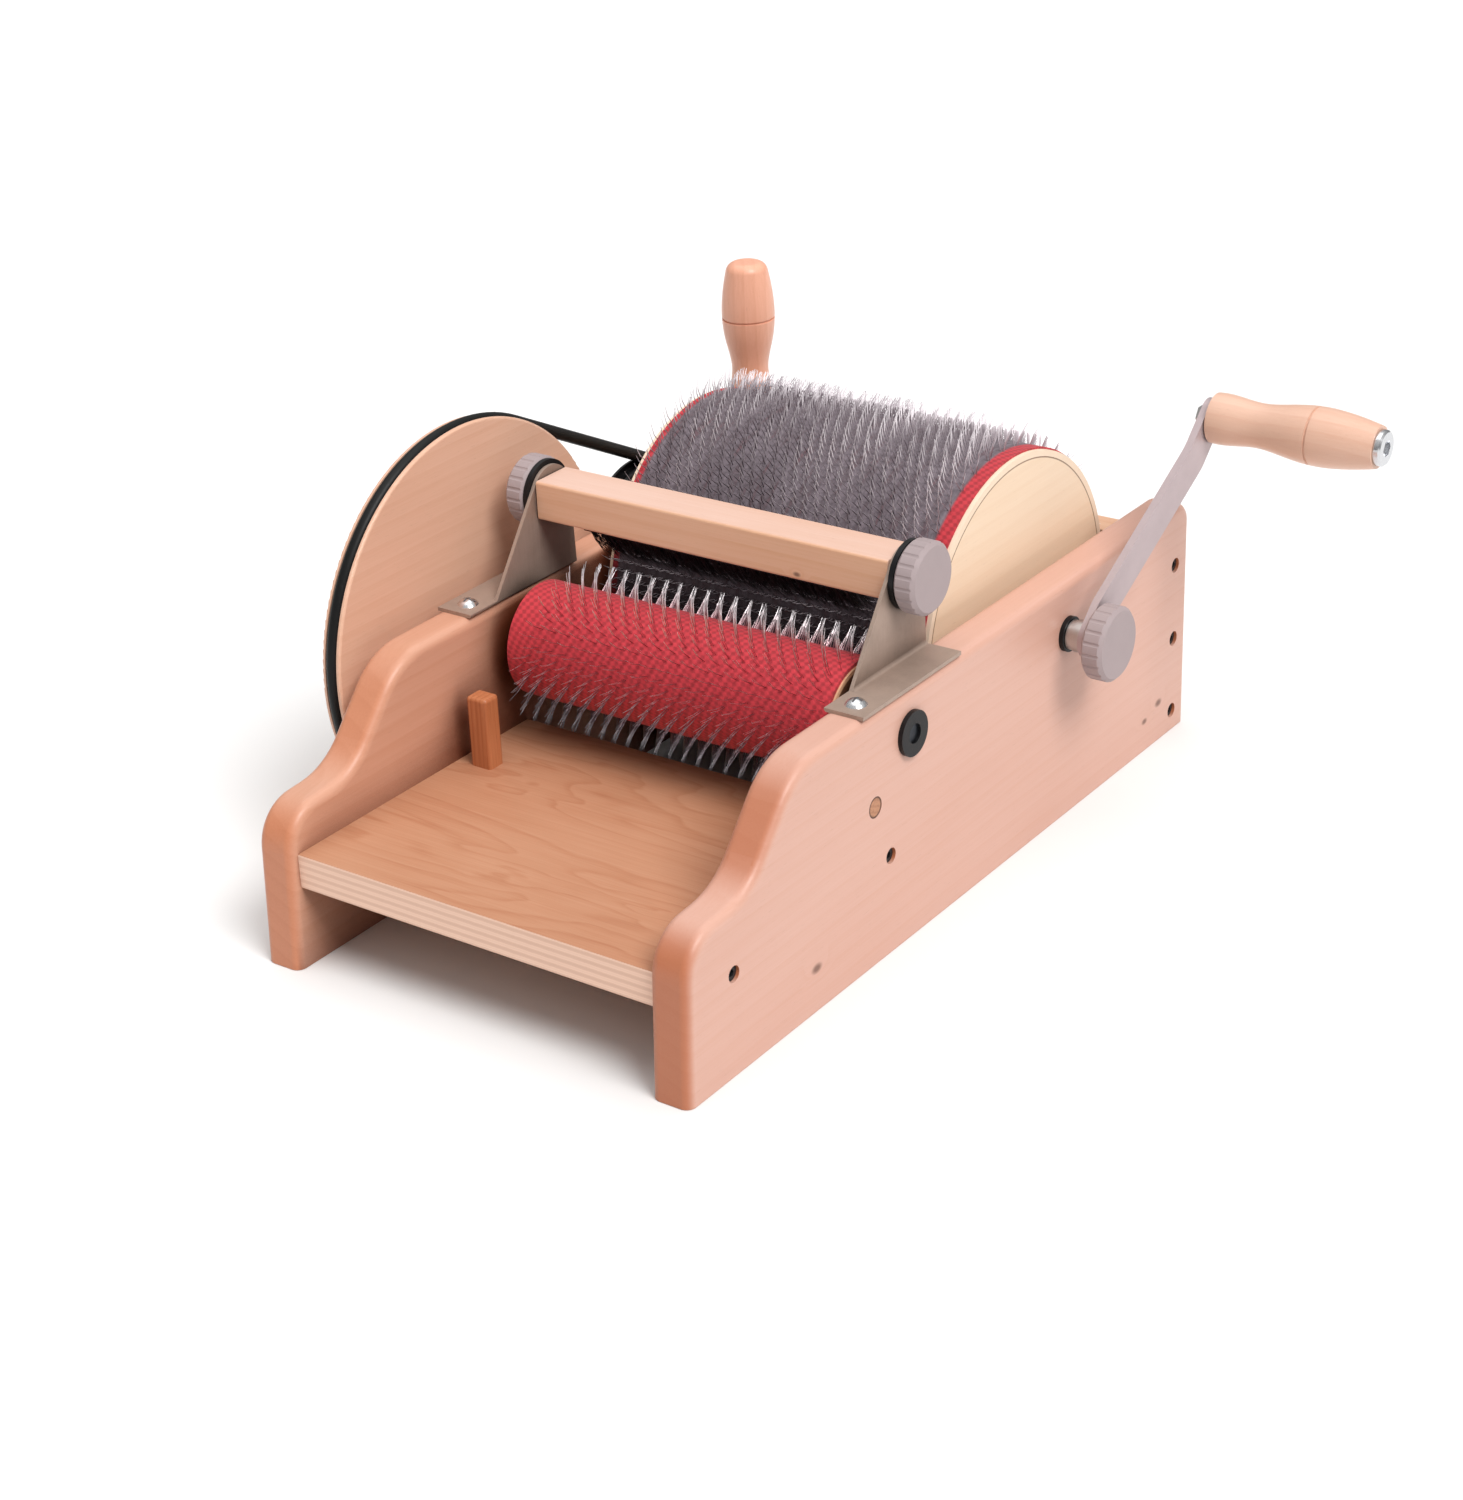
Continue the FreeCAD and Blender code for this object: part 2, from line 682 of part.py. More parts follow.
def clamp_knob(label, x_from, x_to, bore, bore_end, at, side=1, radius=knob_radius):
    """A round fluted knob about the x axis, with a blind bore from its inner side."""
    rim = 2
    rise = 1.5
    profile = [
        (x_from * side, bore),
        (x_from * side, radius - rise),
        ((x_from + rise) * side, radius),
        ((x_to - rim) * side, radius),
        (x_to * side, radius - rim),
        (x_to * side, 0),
        (bore_end * side, 0),
        (bore_end * side, bore),
    ]
    body = turned(label, profile, at)
    cutter = new_sketch(body, "YZ_Plane", "flute", x_from * side)
    draw_circles(cutter, [(radius + flute_radius - 0.5, 0, flute_radius)])
    flute = pocket(body, cutter)
    pattern = body.newObject("PartDesign::PolarPattern", f"{label}_flutes")
    pattern.Originals = [flute]
    pattern.Axis = ([item for item in body.Origin.OriginFeatures if item.Role == "X_Axis"][0], [""])
    pattern.Angle = 360
    pattern.Occurrences = knob_flutes
    body.Tip = pattern
    doc.recompute()
    return body


clamp_knob("crank_knob", arm_far + knob_washer_thick, knob_end, drum_shaft_radius + fit_gap,
           knob_bottom, drum_at)

handle_y = drum_y + crank_radius * round(math.cos(math.radians(crank_angle.value)), 9)
handle_z = drum_z + crank_radius * round(math.sin(math.radians(crank_angle.value)), 9)
handle_at = (0, handle_y, handle_z)


def spline_points(sketch, points):
    """A smooth curve through the points, and its two ends."""
    curve = Part.BSplineCurve()
    curve.interpolate([Vector(u, v, 0) for u, v in points])
    sketch.addGeometry(curve, False)


def draw_chain(sketch, points):
    """Straight lines through the points, not closed."""
    for start, finish in zip(points, points[1:]):
        sketch.addGeometry(Part.LineSegment(Vector(*start, 0), Vector(*finish, 0)), False)


def handle_curve(length, girth, waist, end):
    """Radii along a turned handle: a flared base, a waist, a full barrel and a slimmer end."""
    flare = waist + 1.6
    shape = ((0, flare), (0.1, flare), (0.27, waist), (0.45, girth - 1.8), (0.62, girth), (0.8, girth - 0.9), (1, end))
    return [(length * along, radius) for along, radius in shape]


def crank_handle():
    """The turned wooden grip that spins on its bolt."""
    body = new_body("crank_handle", (handle_start, handle_y, handle_z))
    sketch = new_sketch(body, "XZ_Plane", "turning")
    length = handle_length.value
    bore = handle_bolt_radius.value + run_gap.value
    curve = handle_curve(length, 15.5, 11.8, 11.2)
    spline_points(sketch, curve)
    draw_chain(sketch, [curve[-1], (length, bore), (0, bore), curve[0]])
    revolve(body, sketch, "H_Axis")
    groove = new_sketch(body, "XZ_Plane", "ring_groove")
    place = length * 0.62
    top = curve[4][1] + 1
    draw_polygon(groove, [(place - 1, top), (place + 1, top), (place + 0.4, top - 2), (place - 0.4, top - 2)])
    cut = body.newObject("PartDesign::Groove", "crank_handle_groove")
    cut.Profile = groove
    cut.ReferenceAxis = (groove, ["H_Axis"])
    cut.Angle = 360
    doc.recompute()
    return body


crank_handle()
handle_end = handle_start + handle_length
bolt_seat = handle_end + free_gap
tube("handle_washer", arm_far + arm_offset, handle_start - free_gap, handle_bolt_radius + fit_gap,
     size("handle_washer_radius", 9), handle_at)
nut_near = arm_near + arm_offset - 4
hexagon_nut("handle_nut", nut_near, arm_near + arm_offset, size("handle_nut_across", 10),
            handle_bolt_radius + fit_gap, handle_at)


def handle_bolt():
    """A cap bolt through the grip: round head with a hexagon socket."""
    head_end = bolt_seat + bolt_head_height
    body = turned("handle_bolt", [
        (nut_near - 1, 0),
        (nut_near - 1, handle_bolt_radius),
        (bolt_seat, handle_bolt_radius),
        (bolt_seat, bolt_head_radius),
        (head_end - 1, bolt_head_radius),
        (head_end, bolt_head_radius - 1),
        (head_end, 0),
    ], handle_at)
    sketch = new_sketch(body, "YZ_Plane", "socket", head_end)
    draw_polygon(sketch, [
        (socket_radius * round(math.cos(math.radians(60 * turn)), 6),
         socket_radius * round(math.sin(math.radians(60 * turn)), 6))
        for turn in range(6)
    ])
    pocket(body, sketch, socket_depth)
    return body


handle_bolt()


# --- packer brush -------------------------------------------------------------
def bracket(label, side):
    """Folded sheet: a flange screwed to the panel's top and an upright plate for the knob."""
    body = new_body(label)
    start = inner_half if side > 0 else -panel_outer
    flange = new_sketch(body, "YZ_Plane", "flange", start)
    top = panel_height + bracket_thick
    draw_polygon(flange, [
        (bracket_front, panel_height), (bracket_back, panel_height), (bracket_back, top), (bracket_front, top)])
    pad(body, flange, panel_thick)
    plate = new_sketch(body, "YZ_Plane", "plate", inner_half if side > 0 else -(inner_half + bracket_thick))
    draw_polygon(plate, [
        (plate_front, panel_height),
        (brush_axis_y - apex_front, brush_axis_z + bracket_apex_radius),
        (brush_axis_y + apex_back, brush_axis_z + bracket_apex_radius),
        (bracket_back, panel_height),
    ])
    pad(body, plate, bracket_thick)
    apex = brush_axis_z.value + bracket_apex_radius.value
    round_edges(body, size(f"{label}_apex", 14.6), lambda edge: along_x(edge)
                and abs(edge.Vertexes[0].Z - apex) < 0.01)
    fold = (inner_half + bracket_thick) * side
    round_edges(body, size(f"{label}_fold", 2), lambda edge: abs(edge.BoundBox.ZMin - top.value) < 0.01
                and in_plane_x(edge, fold.value) and edge.BoundBox.ZMax - edge.BoundBox.ZMin < 0.01)
    corner = inner_half * side
    round_edges(body, size(f"{label}_heel", 1.5), lambda edge: abs(edge.BoundBox.ZMax - panel_height.value) < 0.01
                and in_plane_x(edge, corner.value) and edge.BoundBox.YMax - edge.BoundBox.YMin > 60)
    holes = new_sketch(body, "YZ_Plane", "stud_hole")
    draw_circles(holes, [(brush_axis_y, brush_axis_z, stud_radius + free_gap)])
    pocket(body, holes)
    screw_hole = new_sketch(body, "XY_Plane", "screw_hole")
    middle = panel_middle if side > 0 else -panel_middle
    draw_circles(screw_hole, [(middle, bracket_screw_y, screw_radius + run_gap)])
    pocket(body, screw_hole)
    return body


bracket("brush_bracket_right", 1)
bracket("brush_bracket_left", -1)


def dome_screw(side):
    """A domed screw that holds a bracket's flange, along z."""
    seat = panel_height.value + bracket_thick.value
    centre = Vector(side * panel_middle.value, bracket_screw_y.value, seat)
    dome_radius = 5.6
    ball_radius = 6.6
    drop = math.sqrt(ball_radius ** 2 - dome_radius ** 2)
    ball = Part.makeSphere(ball_radius, centre - Vector(0, 0, drop))
    above = Part.makeCylinder(ball_radius + 1, ball_radius, centre)
    shank = Part.makeCylinder(screw_radius.value, 20, centre, Vector(0, 0, -1))
    slots = [
        Part.makeBox(6.4, 1.1, 3, centre + Vector(-3.2, -0.55, 1.9)),
        Part.makeBox(1.1, 6.4, 3, centre + Vector(-0.55, -3.2, 1.9)),
    ]
    return ball.common(above).fuse(shank).cut(slots[0]).cut(slots[1]).removeSplitter()


raw_piece("bracket_screws", Part.makeCompound([dome_screw(-1), dome_screw(1)]))


def brush_beam():
    """The wooden bar across the carder that carries the brush."""
    body = new_body("brush_beam", (0, brush_axis_y, brush_axis_z))
    sketch = new_sketch(body, "YZ_Plane", "section")
    deep, high = beam_depth / 2, beam_height / 2
    draw_polygon(sketch, [(-deep, -high), (deep, -high), (deep, high), (-deep, high)])
    pad(body, sketch, beam_half * 2, middle=True)
    round_edges(body, size("beam_round", 1.5), along_x)
    for side in (1, -1):
        end = beam_half if side > 0 else -beam_half
        hole = new_sketch(body, "YZ_Plane", f"stud_{'right' if side > 0 else 'left'}", end)
        draw_circles(hole, [(0, 0, stud_radius + run_gap)])
        pocket(body, hole, stud_length - 8, forward=side < 0)
    return body


brush_beam()


def brush_holder():
    """The black back that holds the tufts under the beam."""
    body = new_body("brush_holder")
    sketch = new_sketch(body, "YZ_Plane", "section")
    back = brush_axis_y + beam_depth / 2
    draw_polygon(sketch, [
        (back - holder_depth, beam_bottom - holder_thick),
        (back, beam_bottom - holder_thick),
        (back, beam_bottom),
        (back - holder_depth, beam_bottom),
    ])
    pad(body, sketch, brush_half * 2, middle=True)
    return body


def brush_bristles():
    """The space the bristles fill, from the holder down to the drum's teeth."""
    body = new_body("brush_bristles")
    sketch = new_sketch(body, "YZ_Plane", "section")
    back = brush_axis_y + beam_depth / 2
    root = beam_bottom - holder_thick
    draw_polygon(sketch, [
        (back - holder_depth + 1, root),
        (back - 1, root),
        (brush_axis_y + 27.5, brush_axis_z - 26.5),
        (brush_axis_y + 23, brush_axis_z - 31),
        (brush_axis_y + 13.5, brush_axis_z - 36),
    ])
    pad(body, sketch, brush_half * 2 - 2, middle=True)
    return body


brush_holder()
brush_bristles()

brush_at = (0, brush_axis_y, brush_axis_z)
washer_start = inner_half + bracket_thick + free_gap
brush_knob_start = inner_half + bracket_thick + knob_washer_thick + free_gap
for side, word in ((1, "right"), (-1, "left")):
    tube(f"brush_washer_{word}", washer_start * side, (washer_start + knob_washer_thick - free_gap) * side,
         stud_radius + run_gap, knob_washer_radius, brush_at)
    clamp_knob(f"brush_knob_{word}", brush_knob_start, brush_knob_end, stud_radius + fit_gap,
               brush_knob_end - 4, brush_at, side, brush_knob_radius)
    tube(f"brush_stud_{word}", (brush_knob_end - 4 - stud_length) * side, (brush_knob_end - 4) * side,
         as_size(0), stud_radius, brush_at)


# --- awl ----------------------------------------------------------------------
def awl_handle():
    """A turned handle like the crank's, upright and with a rounded end."""
    body = new_body("awl_handle", (-panel_middle, awl_y, awl_handle_base))
    sketch = new_sketch(body, "XZ_Plane", "turning")
    length = awl_handle_length.value
    bore = awl_blade_radius.value + fit_gap.value
    curve = handle_curve(length, 15, 10.4, 10.8)
    spline_points(sketch, [(radius, along) for along, radius in curve])
    tang = 30
    draw_chain(sketch, [(curve[-1][1], length), (0, length), (0, tang), (bore, tang), (bore, 0),
                        (curve[0][1], 0)])
    revolve(body, sketch, "V_Axis")
    round_edges(body, size("awl_end_round", 6), lambda edge: edge.BoundBox.ZMin > length - 0.01)
    groove = new_sketch(body, "XZ_Plane", "ring_groove")
    place = length * 0.62
    top = curve[4][1] + 1
    draw_polygon(groove, [(top, place - 1), (top, place + 1), (top - 2, place + 0.4), (top - 2, place - 0.4)])
    cut = body.newObject("PartDesign::Groove", "awl_handle_groove")
    cut.Profile = groove
    cut.ReferenceAxis = (groove, ["V_Axis"])
    cut.Angle = 360
    doc.recompute()
    return body


def awl_blade():
    """The steel spike, with its tang in the handle and its point in the panel."""
    body = new_body("awl_blade", (-panel_middle, awl_y, 0))
    sketch = new_sketch(body, "XZ_Plane", "turning")
    tang_end = awl_handle_base + 30
    draw_polygon(sketch, [
        (0, awl_blade_tip),
        (awl_blade_radius, awl_blade_tip + 22),
        (awl_blade_radius, tang_end),
        (0, tang_end),
    ])
    revolve(body, sketch, "V_Axis")
    return body


awl_handle()
awl_blade()

# --- check and write ----------------------------------------------------------
doc.recompute()
for item in doc.Objects:
    faults = [state for state in item.State if state in ("Invalid", "Error")]
    if faults:
        raise ValueError(f"{item.Name} is {faults}")
os.makedirs("parts", exist_ok=True)
for piece in pieces:
    shape = piece.Shape
    if shape.isNull() or not shape.isValid() or not shape.Solids:
        raise ValueError(f"{piece.Label} has no valid solid")
    shape.exportStep(f"parts/{piece.Label}.step")
    print(piece.Label, len(shape.Solids), round(shape.Volume / 1000, 2))
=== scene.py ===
import math

import bpy
import numpy as np
from mathutils import Matrix, Vector


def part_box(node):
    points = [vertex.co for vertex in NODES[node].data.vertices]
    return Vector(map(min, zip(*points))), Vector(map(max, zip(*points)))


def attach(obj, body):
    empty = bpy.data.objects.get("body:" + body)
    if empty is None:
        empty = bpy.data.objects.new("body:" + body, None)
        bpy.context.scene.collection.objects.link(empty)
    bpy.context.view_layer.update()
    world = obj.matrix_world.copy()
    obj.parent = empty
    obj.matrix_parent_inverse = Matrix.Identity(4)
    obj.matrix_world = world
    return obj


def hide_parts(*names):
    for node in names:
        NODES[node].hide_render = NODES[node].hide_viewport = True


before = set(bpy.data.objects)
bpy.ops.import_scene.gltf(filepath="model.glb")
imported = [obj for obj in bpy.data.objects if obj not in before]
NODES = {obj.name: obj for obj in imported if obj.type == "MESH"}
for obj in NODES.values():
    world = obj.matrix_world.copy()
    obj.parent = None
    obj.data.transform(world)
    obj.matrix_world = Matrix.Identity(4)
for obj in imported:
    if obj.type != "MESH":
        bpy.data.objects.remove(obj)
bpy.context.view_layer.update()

# Painted shade: a surface's colour darkens where others stand within these reaches, in
# metres: at each inside corner, and in the gap round the drum, whose shade has a tint of its own.
OCCLUSION_SAMPLES = 12
WOOD_CORNER_REACH = 0.05
METAL_CORNER_REACH = 0.03
GAP_REACH = 0.07
GAP_SHADE_TINT = (0.12, 0.10, 0.11)

# Card cloth and its wires, in metres. A WIRE is a radius, a LEAN a slope round the roller,
# SPLAY a slope along x for each metre of offset, and a FOOT the radii from the roller's
# axis between which the painted tint near the cloth fades: a painted reflection of the red
# cloth on the licker's wires, painted shade on the drum's.
WEAVE_ACROSS = 0.00433
WEAVE_ALONG = 0.0030
LICKER_PITCH = 0.00866
LICKER_ROWS = 40
LICKER_WIRE = 0.00024
LICKER_LEAN = 0.14
LICKER_SLANT = 0.018
LICKER_FOOT = (0.032, 0.042)
DRUM_PITCH = 0.0067
DRUM_ROWS = 126
DRUM_WIRE = 0.00032
DRUM_LEAN = 0.42
DRUM_SPLAY = 450
DRUM_FOOT = (0.093, 0.102)
PAIR_OFFSETS = (-0.0006, 0.0006)

# Wooden pieces, in metres: radii where a piece's band of painted shade starts and ends (a painted
# shadow line in the gap at the drum disc's rim, painted shade in the middle of the roller core's end),
# the plug's radius, and the tray's plywood.
DISC_RIM_SHADOW_RADII = (0.0869, 0.1)
CORE_END_SHADE_RADII = (0.0, 0.0262)
PLUG_RADIUS = 0.0055
TRAY_THICKNESS = 0.018
TRAY_PLIES = 9


# ------------------------------------------------------------------ node helpers
class Graph:
    """A material's node tree, with short calls for the nodes used here."""

    def __init__(self, name):
        self.material = bpy.data.materials.new(name)
        self.material.use_nodes = True
        self.tree = self.material.node_tree
        self.shader = self.tree.nodes["Principled BSDF"]
        self.coords = self.tree.nodes.new("ShaderNodeTexCoord")
        self.point = self.coords.outputs["Object"]

    def put(self, socket, value):
        if isinstance(value, bpy.types.NodeSocket):
            self.tree.links.new(value, socket)
        elif isinstance(value, tuple) and len(value) == 3 and socket.type == "RGBA":
            socket.default_value = (*value, 1.0)
        else:
            socket.default_value = value

    def math(self, operation, first, second=0.0, third=None, clamp=False):
        made = self.tree.nodes.new("ShaderNodeMath")
        made.operation = operation
        made.use_clamp = clamp
        self.put(made.inputs[0], first)
        self.put(made.inputs[1], second)
        if third is not None:
            self.put(made.inputs[2], third)
        return made.outputs[0]

    def split(self, vector):
        made = self.tree.nodes.new("ShaderNodeSeparateXYZ")
        self.put(made.inputs[0], vector)
        return made.outputs

    def join(self, first, second, third):
        made = self.tree.nodes.new("ShaderNodeCombineXYZ")
        for socket, value in zip(made.inputs, (first, second, third)):
            self.put(socket, value)
        return made.outputs[0]

    def mapped(self, vector, scale):
        made = self.tree.nodes.new("ShaderNodeMapping")
        self.put(made.inputs["Vector"], vector)
        made.inputs["Scale"].default_value = scale
        return made.outputs[0]

    def noise(self, vector, scale, detail=3.0, rough=0.5, twist=0.0):
        made = self.tree.nodes.new("ShaderNodeTexNoise")
        self.put(made.inputs["Vector"], vector)
        made.inputs["Scale"].default_value = scale
        made.inputs["Detail"].default_value = detail
        made.inputs["Roughness"].default_value = rough
        made.inputs["Distortion"].default_value = twist
        return made.outputs[0]

    def ramp(self, factor, stops):
        made = self.tree.nodes.new("ShaderNodeValToRGB")
        self.put(made.inputs[0], factor)
        points = made.color_ramp.elements
        while len(points) < len(stops):
            points.new(0.5)
        for point, (place, colour) in zip(points, stops):
            point.position = place
            tone = (colour,) * 3 if isinstance(colour, (int, float)) else colour
            point.color = (*tone, 1.0)
        return made.outputs[0]

    def length(self, first, second):
        """Length of a vector in a plane, from its two parts."""
        squares = (self.math("MULTIPLY", first, first), self.math("MULTIPLY", second, second))
        return self.math("SQRT", self.math("ADD", *squares))

    def off_axis(self, axis):
        """Distance of each point from a line along x through axis."""
        _, y, z = self.split(self.point)
        return self.length(self.math("SUBTRACT", y, axis.y), self.math("SUBTRACT", z, axis.z))

    def range(self, value, low, high, out_low=0.0, out_high=1.0):
        made = self.tree.nodes.new("ShaderNodeMapRange")
        made.interpolation_type = "SMOOTHSTEP"
        self.put(made.inputs["Value"], value)
        made.inputs["From Min"].default_value = low
        made.inputs["From Max"].default_value = high
        made.inputs["To Min"].default_value = out_low
        made.inputs["To Max"].default_value = out_high
        return made.outputs[0]

    def mix(self, factor, first, second, mode="MIX"):
        made = self.tree.nodes.new("ShaderNodeMix")
        made.data_type = "RGBA"
        made.blend_type = mode
        self.put(made.inputs[0], factor)
        self.put(made.inputs[6], first)
        self.put(made.inputs[7], second)
        return made.outputs[2]

    def bump(self, height, strength, distance):
        made = self.tree.nodes.new("ShaderNodeBump")
        made.inputs["Strength"].default_value = strength
        made.inputs["Distance"].default_value = distance
        self.put(made.inputs["Height"], height)
        self.put(self.shader.inputs["Normal"], made.outputs[0])

    def painted_occlusion_shade(self, colour, reach, tint, shut=0.25, clear=0.80, all_round=False):
        """Paint shade into a surface's colour where others stand close by; only faces towards +x, unless
        all_round.
        """
        made = self.tree.nodes.new("ShaderNodeAmbientOcclusion")
        made.samples = OCCLUSION_SAMPLES
        made.inputs["Distance"].default_value = reach
        facing = 1.0 if all_round else self.range(self.split(self.coords.outputs["Normal"])[0], 0.5, 0.9)
        closed = self.math("MULTIPLY", self.range(made.outputs["AO"], shut, clear, 1.0, 0.0), facing)
        return self.mix(closed, colour, self.mix(1.0, colour, tint, "MULTIPLY"))

    def finish(self, colour, rough, metal=0.0, specular=0.5, **others):
        self.put(self.shader.inputs["Base Color"], colour)
        self.put(self.shader.inputs["Roughness"], rough)
        self.shader.inputs["Metallic"].default_value = metal
        self.shader.inputs["Specular IOR Level"].default_value = specular
        for name, value in others.items():
            self.shader.inputs[name.replace("_", " ")].default_value = value
        return self.material


def linear(red, green, blue):
    """An 8-bit display colour as linear light."""
    out = []
    for value in (red, green, blue):
        value /= 255
        out.append(value / 12.92 if value <= 0.04045 else ((value + 0.055) / 1.055) ** 2.4)
    return tuple(out)


def shade(colour, factor, lift=0.0):
    """The colour made darker or lighter, kept at 1 or below."""
    return tuple(min(1, part * factor + lift) for part in colour)


# --------------------------------------------------------------------- materials
def wood(name, light, mid, dark, grain="y", heart=(0.03, -0.16), ring=0.0045, contrast=1.0,
         knots=(), rough=0.42, front_shade_tint=None, corner_shade_tint=None, band=None, seed=0.0):
    """Solid wood: growth rings round a heart line along the grain, fibres, pores and knots.

    front_shade_tint paints shade on faces towards -y, corner_shade_tint paints shade at each
    inside corner, and band is an axis along x with two radii and the painted shade tint between them.
    """
    g = Graph(name)
    x, y, z = g.split(g.point)
    across, up, along = {"y": (x, z, y), "x": (y, z, x), "z": (x, y, z)}[grain]
    sway = g.noise(g.join(g.math("MULTIPLY", across, 3.0), g.math("MULTIPLY", up, 3.0),
                          g.math("MULTIPLY_ADD", along, 0.45, seed)), 3.2, 2, 0.45, 0.2)
    side = g.math("SUBTRACT", across, heart[0])
    high = g.math("SUBTRACT", up, heart[1])
    from_heart = g.math("MULTIPLY_ADD", sway, 0.018, g.length(side, high))
    knot_shade = 0.0
    for knot_along, knot_up, size in knots:
        gap_along = g.math("MULTIPLY", g.math("SUBTRACT", along, knot_along), 0.6)
        gap_up = g.math("SUBTRACT", up, knot_up)
        gap = g.length(gap_along, gap_up)
        pull = g.range(gap, 0.0, size * 3.2, 1.0, 0.0)
        from_heart = g.math("MULTIPLY_ADD", pull, 0.012, from_heart)
        knot_shade = g.math("MAXIMUM", knot_shade, g.range(gap, size * 0.25, size, 1.0, 0.0))
    cycle = g.math("FRACT", g.math("DIVIDE", from_heart, ring))
    rings = g.ramp(cycle, [(0.0, 0.15), (0.55, 0.4), (0.86, 1.0), (0.94, 0.9), (1.0, 0.15)])
    fibres = g.noise(g.join(across, up, g.math("MULTIPLY_ADD", along, 0.02, seed)), 900, 4, 0.65)
    pores = g.noise(g.join(across, up, g.math("MULTIPLY", along, 0.07)), 2300, 2, 0.5)
    flecks = g.range(pores, 0.66, 0.74)
    patches = g.noise(g.join(across, up, g.math("MULTIPLY_ADD", along, 0.3, seed)), 14, 3, 0.55)
    tone = g.math("ADD", g.math("MULTIPLY", rings, 0.34 * contrast),
                  g.math("MULTIPLY", g.math("SUBTRACT", fibres, 0.5), 0.9 * contrast))
    tone = g.math("ADD", tone, g.math("MULTIPLY", g.math("SUBTRACT", patches, 0.42), contrast))
    colour = g.ramp(g.math("ADD", tone, 0.12, clamp=True), [(0.0, light), (0.45, mid), (1.0, dark)])
    colour = g.mix(g.math("MULTIPLY", flecks, 0.35 * contrast), colour, shade(dark, 0.55))
    # Painted shade: faces towards -y take front_shade_tint.
    if front_shade_tint is not None:
        facing = g.math("MULTIPLY", g.split(g.coords.outputs["Normal"])[1], -1.0)
        colour = g.mix(g.range(facing, 0.0, 0.95), colour, g.mix(1.0, colour, front_shade_tint, "MULTIPLY"))
    if knots:
        colour = g.mix(knot_shade, colour, shade(dark, 0.42))
    # Painted shade at each inside corner, from ambient occlusion.
    if corner_shade_tint is not None:
        colour = g.painted_occlusion_shade(colour, WOOD_CORNER_REACH, corner_shade_tint)
    # Painted shade in a band between two radii round an axis.
    if band is not None:
        axis, inner, outer, tint = band
        out = g.off_axis(axis)
        soft = 0.0003
        inside = g.math("MULTIPLY", g.range(out, inner - soft, inner + soft),
                        g.range(out, outer - soft, outer + soft, 1.0, 0.0))
        colour = g.mix(inside, colour, g.mix(1.0, colour, tint, "MULTIPLY"))
    shine = g.math("ADD", g.math("MULTIPLY", fibres, 0.16), rough - 0.08)
    height = g.math("ADD", g.math("MULTIPLY", fibres, 0.7), g.math("MULTIPLY", rings, 0.3))
    height = g.math("SUBTRACT", height, g.math("MULTIPLY", flecks, 0.8))
    g.bump(height, 0.16, 0.0004)
    return g.finish(colour, shine, specular=0.45, Coat_Weight=0.12, Coat_Roughness=0.3)


def plywood(name, face_light, face_mid, face_dark, core_light, core_dark, top, thick, plies):
    """Plywood: a face veneer with grain across the board, and striped layers on its edges."""
    g = Graph(name)
    x, y, z = g.split(g.point)
    fibres = g.noise(g.join(g.math("MULTIPLY", x, 0.02), y, z), 800, 4, 0.6)
    sway = g.noise(g.join(g.math("MULTIPLY", x, 0.6), g.math("MULTIPLY", y, 3.0), z), 7, 3, 0.5, 0.6)
    waves = g.math("FRACT", g.math("MULTIPLY_ADD", sway, 9.0, g.math("MULTIPLY", y, 45.0)))
    rings = g.ramp(waves, [(0.0, 0.1), (0.6, 0.4), (0.9, 1.0), (1.0, 0.1)])
    patches = g.noise(g.point, 11, 3, 0.5)
    tone = g.math("ADD", g.math("MULTIPLY", rings, 0.5),
                  g.math("MULTIPLY", g.math("SUBTRACT", fibres, 0.45), 0.9))
    tone = g.math("ADD", tone, g.math("MULTIPLY", g.math("SUBTRACT", patches, 0.45), 0.8))
    face = g.ramp(g.math("ADD", tone, 0.15, clamp=True),
                  [(0.0, face_light), (0.5, face_mid), (1.0, face_dark)])
    depth = g.math("DIVIDE", g.math("SUBTRACT", top, z), thick / plies)
    wander = g.math("SUBTRACT", g.noise(g.mapped(g.point, (30, 1, 1)), 4), 0.5)
    depth = g.math("MULTIPLY_ADD", wander, 0.16, depth)
    layer = g.math("PINGPONG", depth, 1.0)
    rough_core = g.noise(g.point, 1500, 3, 0.7)
    layer = g.range(g.math("MULTIPLY_ADD", g.math("SUBTRACT", rough_core, 0.5), 0.35, layer), 0.35, 0.65)
    core = g.mix(layer, core_light, core_dark)
    glue = g.math("ABSOLUTE", g.math("SUBTRACT", g.math("FRACT", g.math("ADD", depth, 0.5)), 0.5))
    core = g.mix(g.range(glue, 0.02, 0.09, 0.14, 0.0), core, shade(core_dark, 0.55))
    facing = g.range(g.math("ABSOLUTE", g.split(g.coords.outputs["Normal"])[2]), 0.5, 0.8)
    colour = g.mix(facing, core, face)
    g.bump(g.math("ADD", fibres, g.math("MULTIPLY", layer, 0.3)), 0.18, 0.0004)
    return g.finish(colour, g.math("MULTIPLY_ADD", fibres, 0.15, 0.42), specular=0.4)


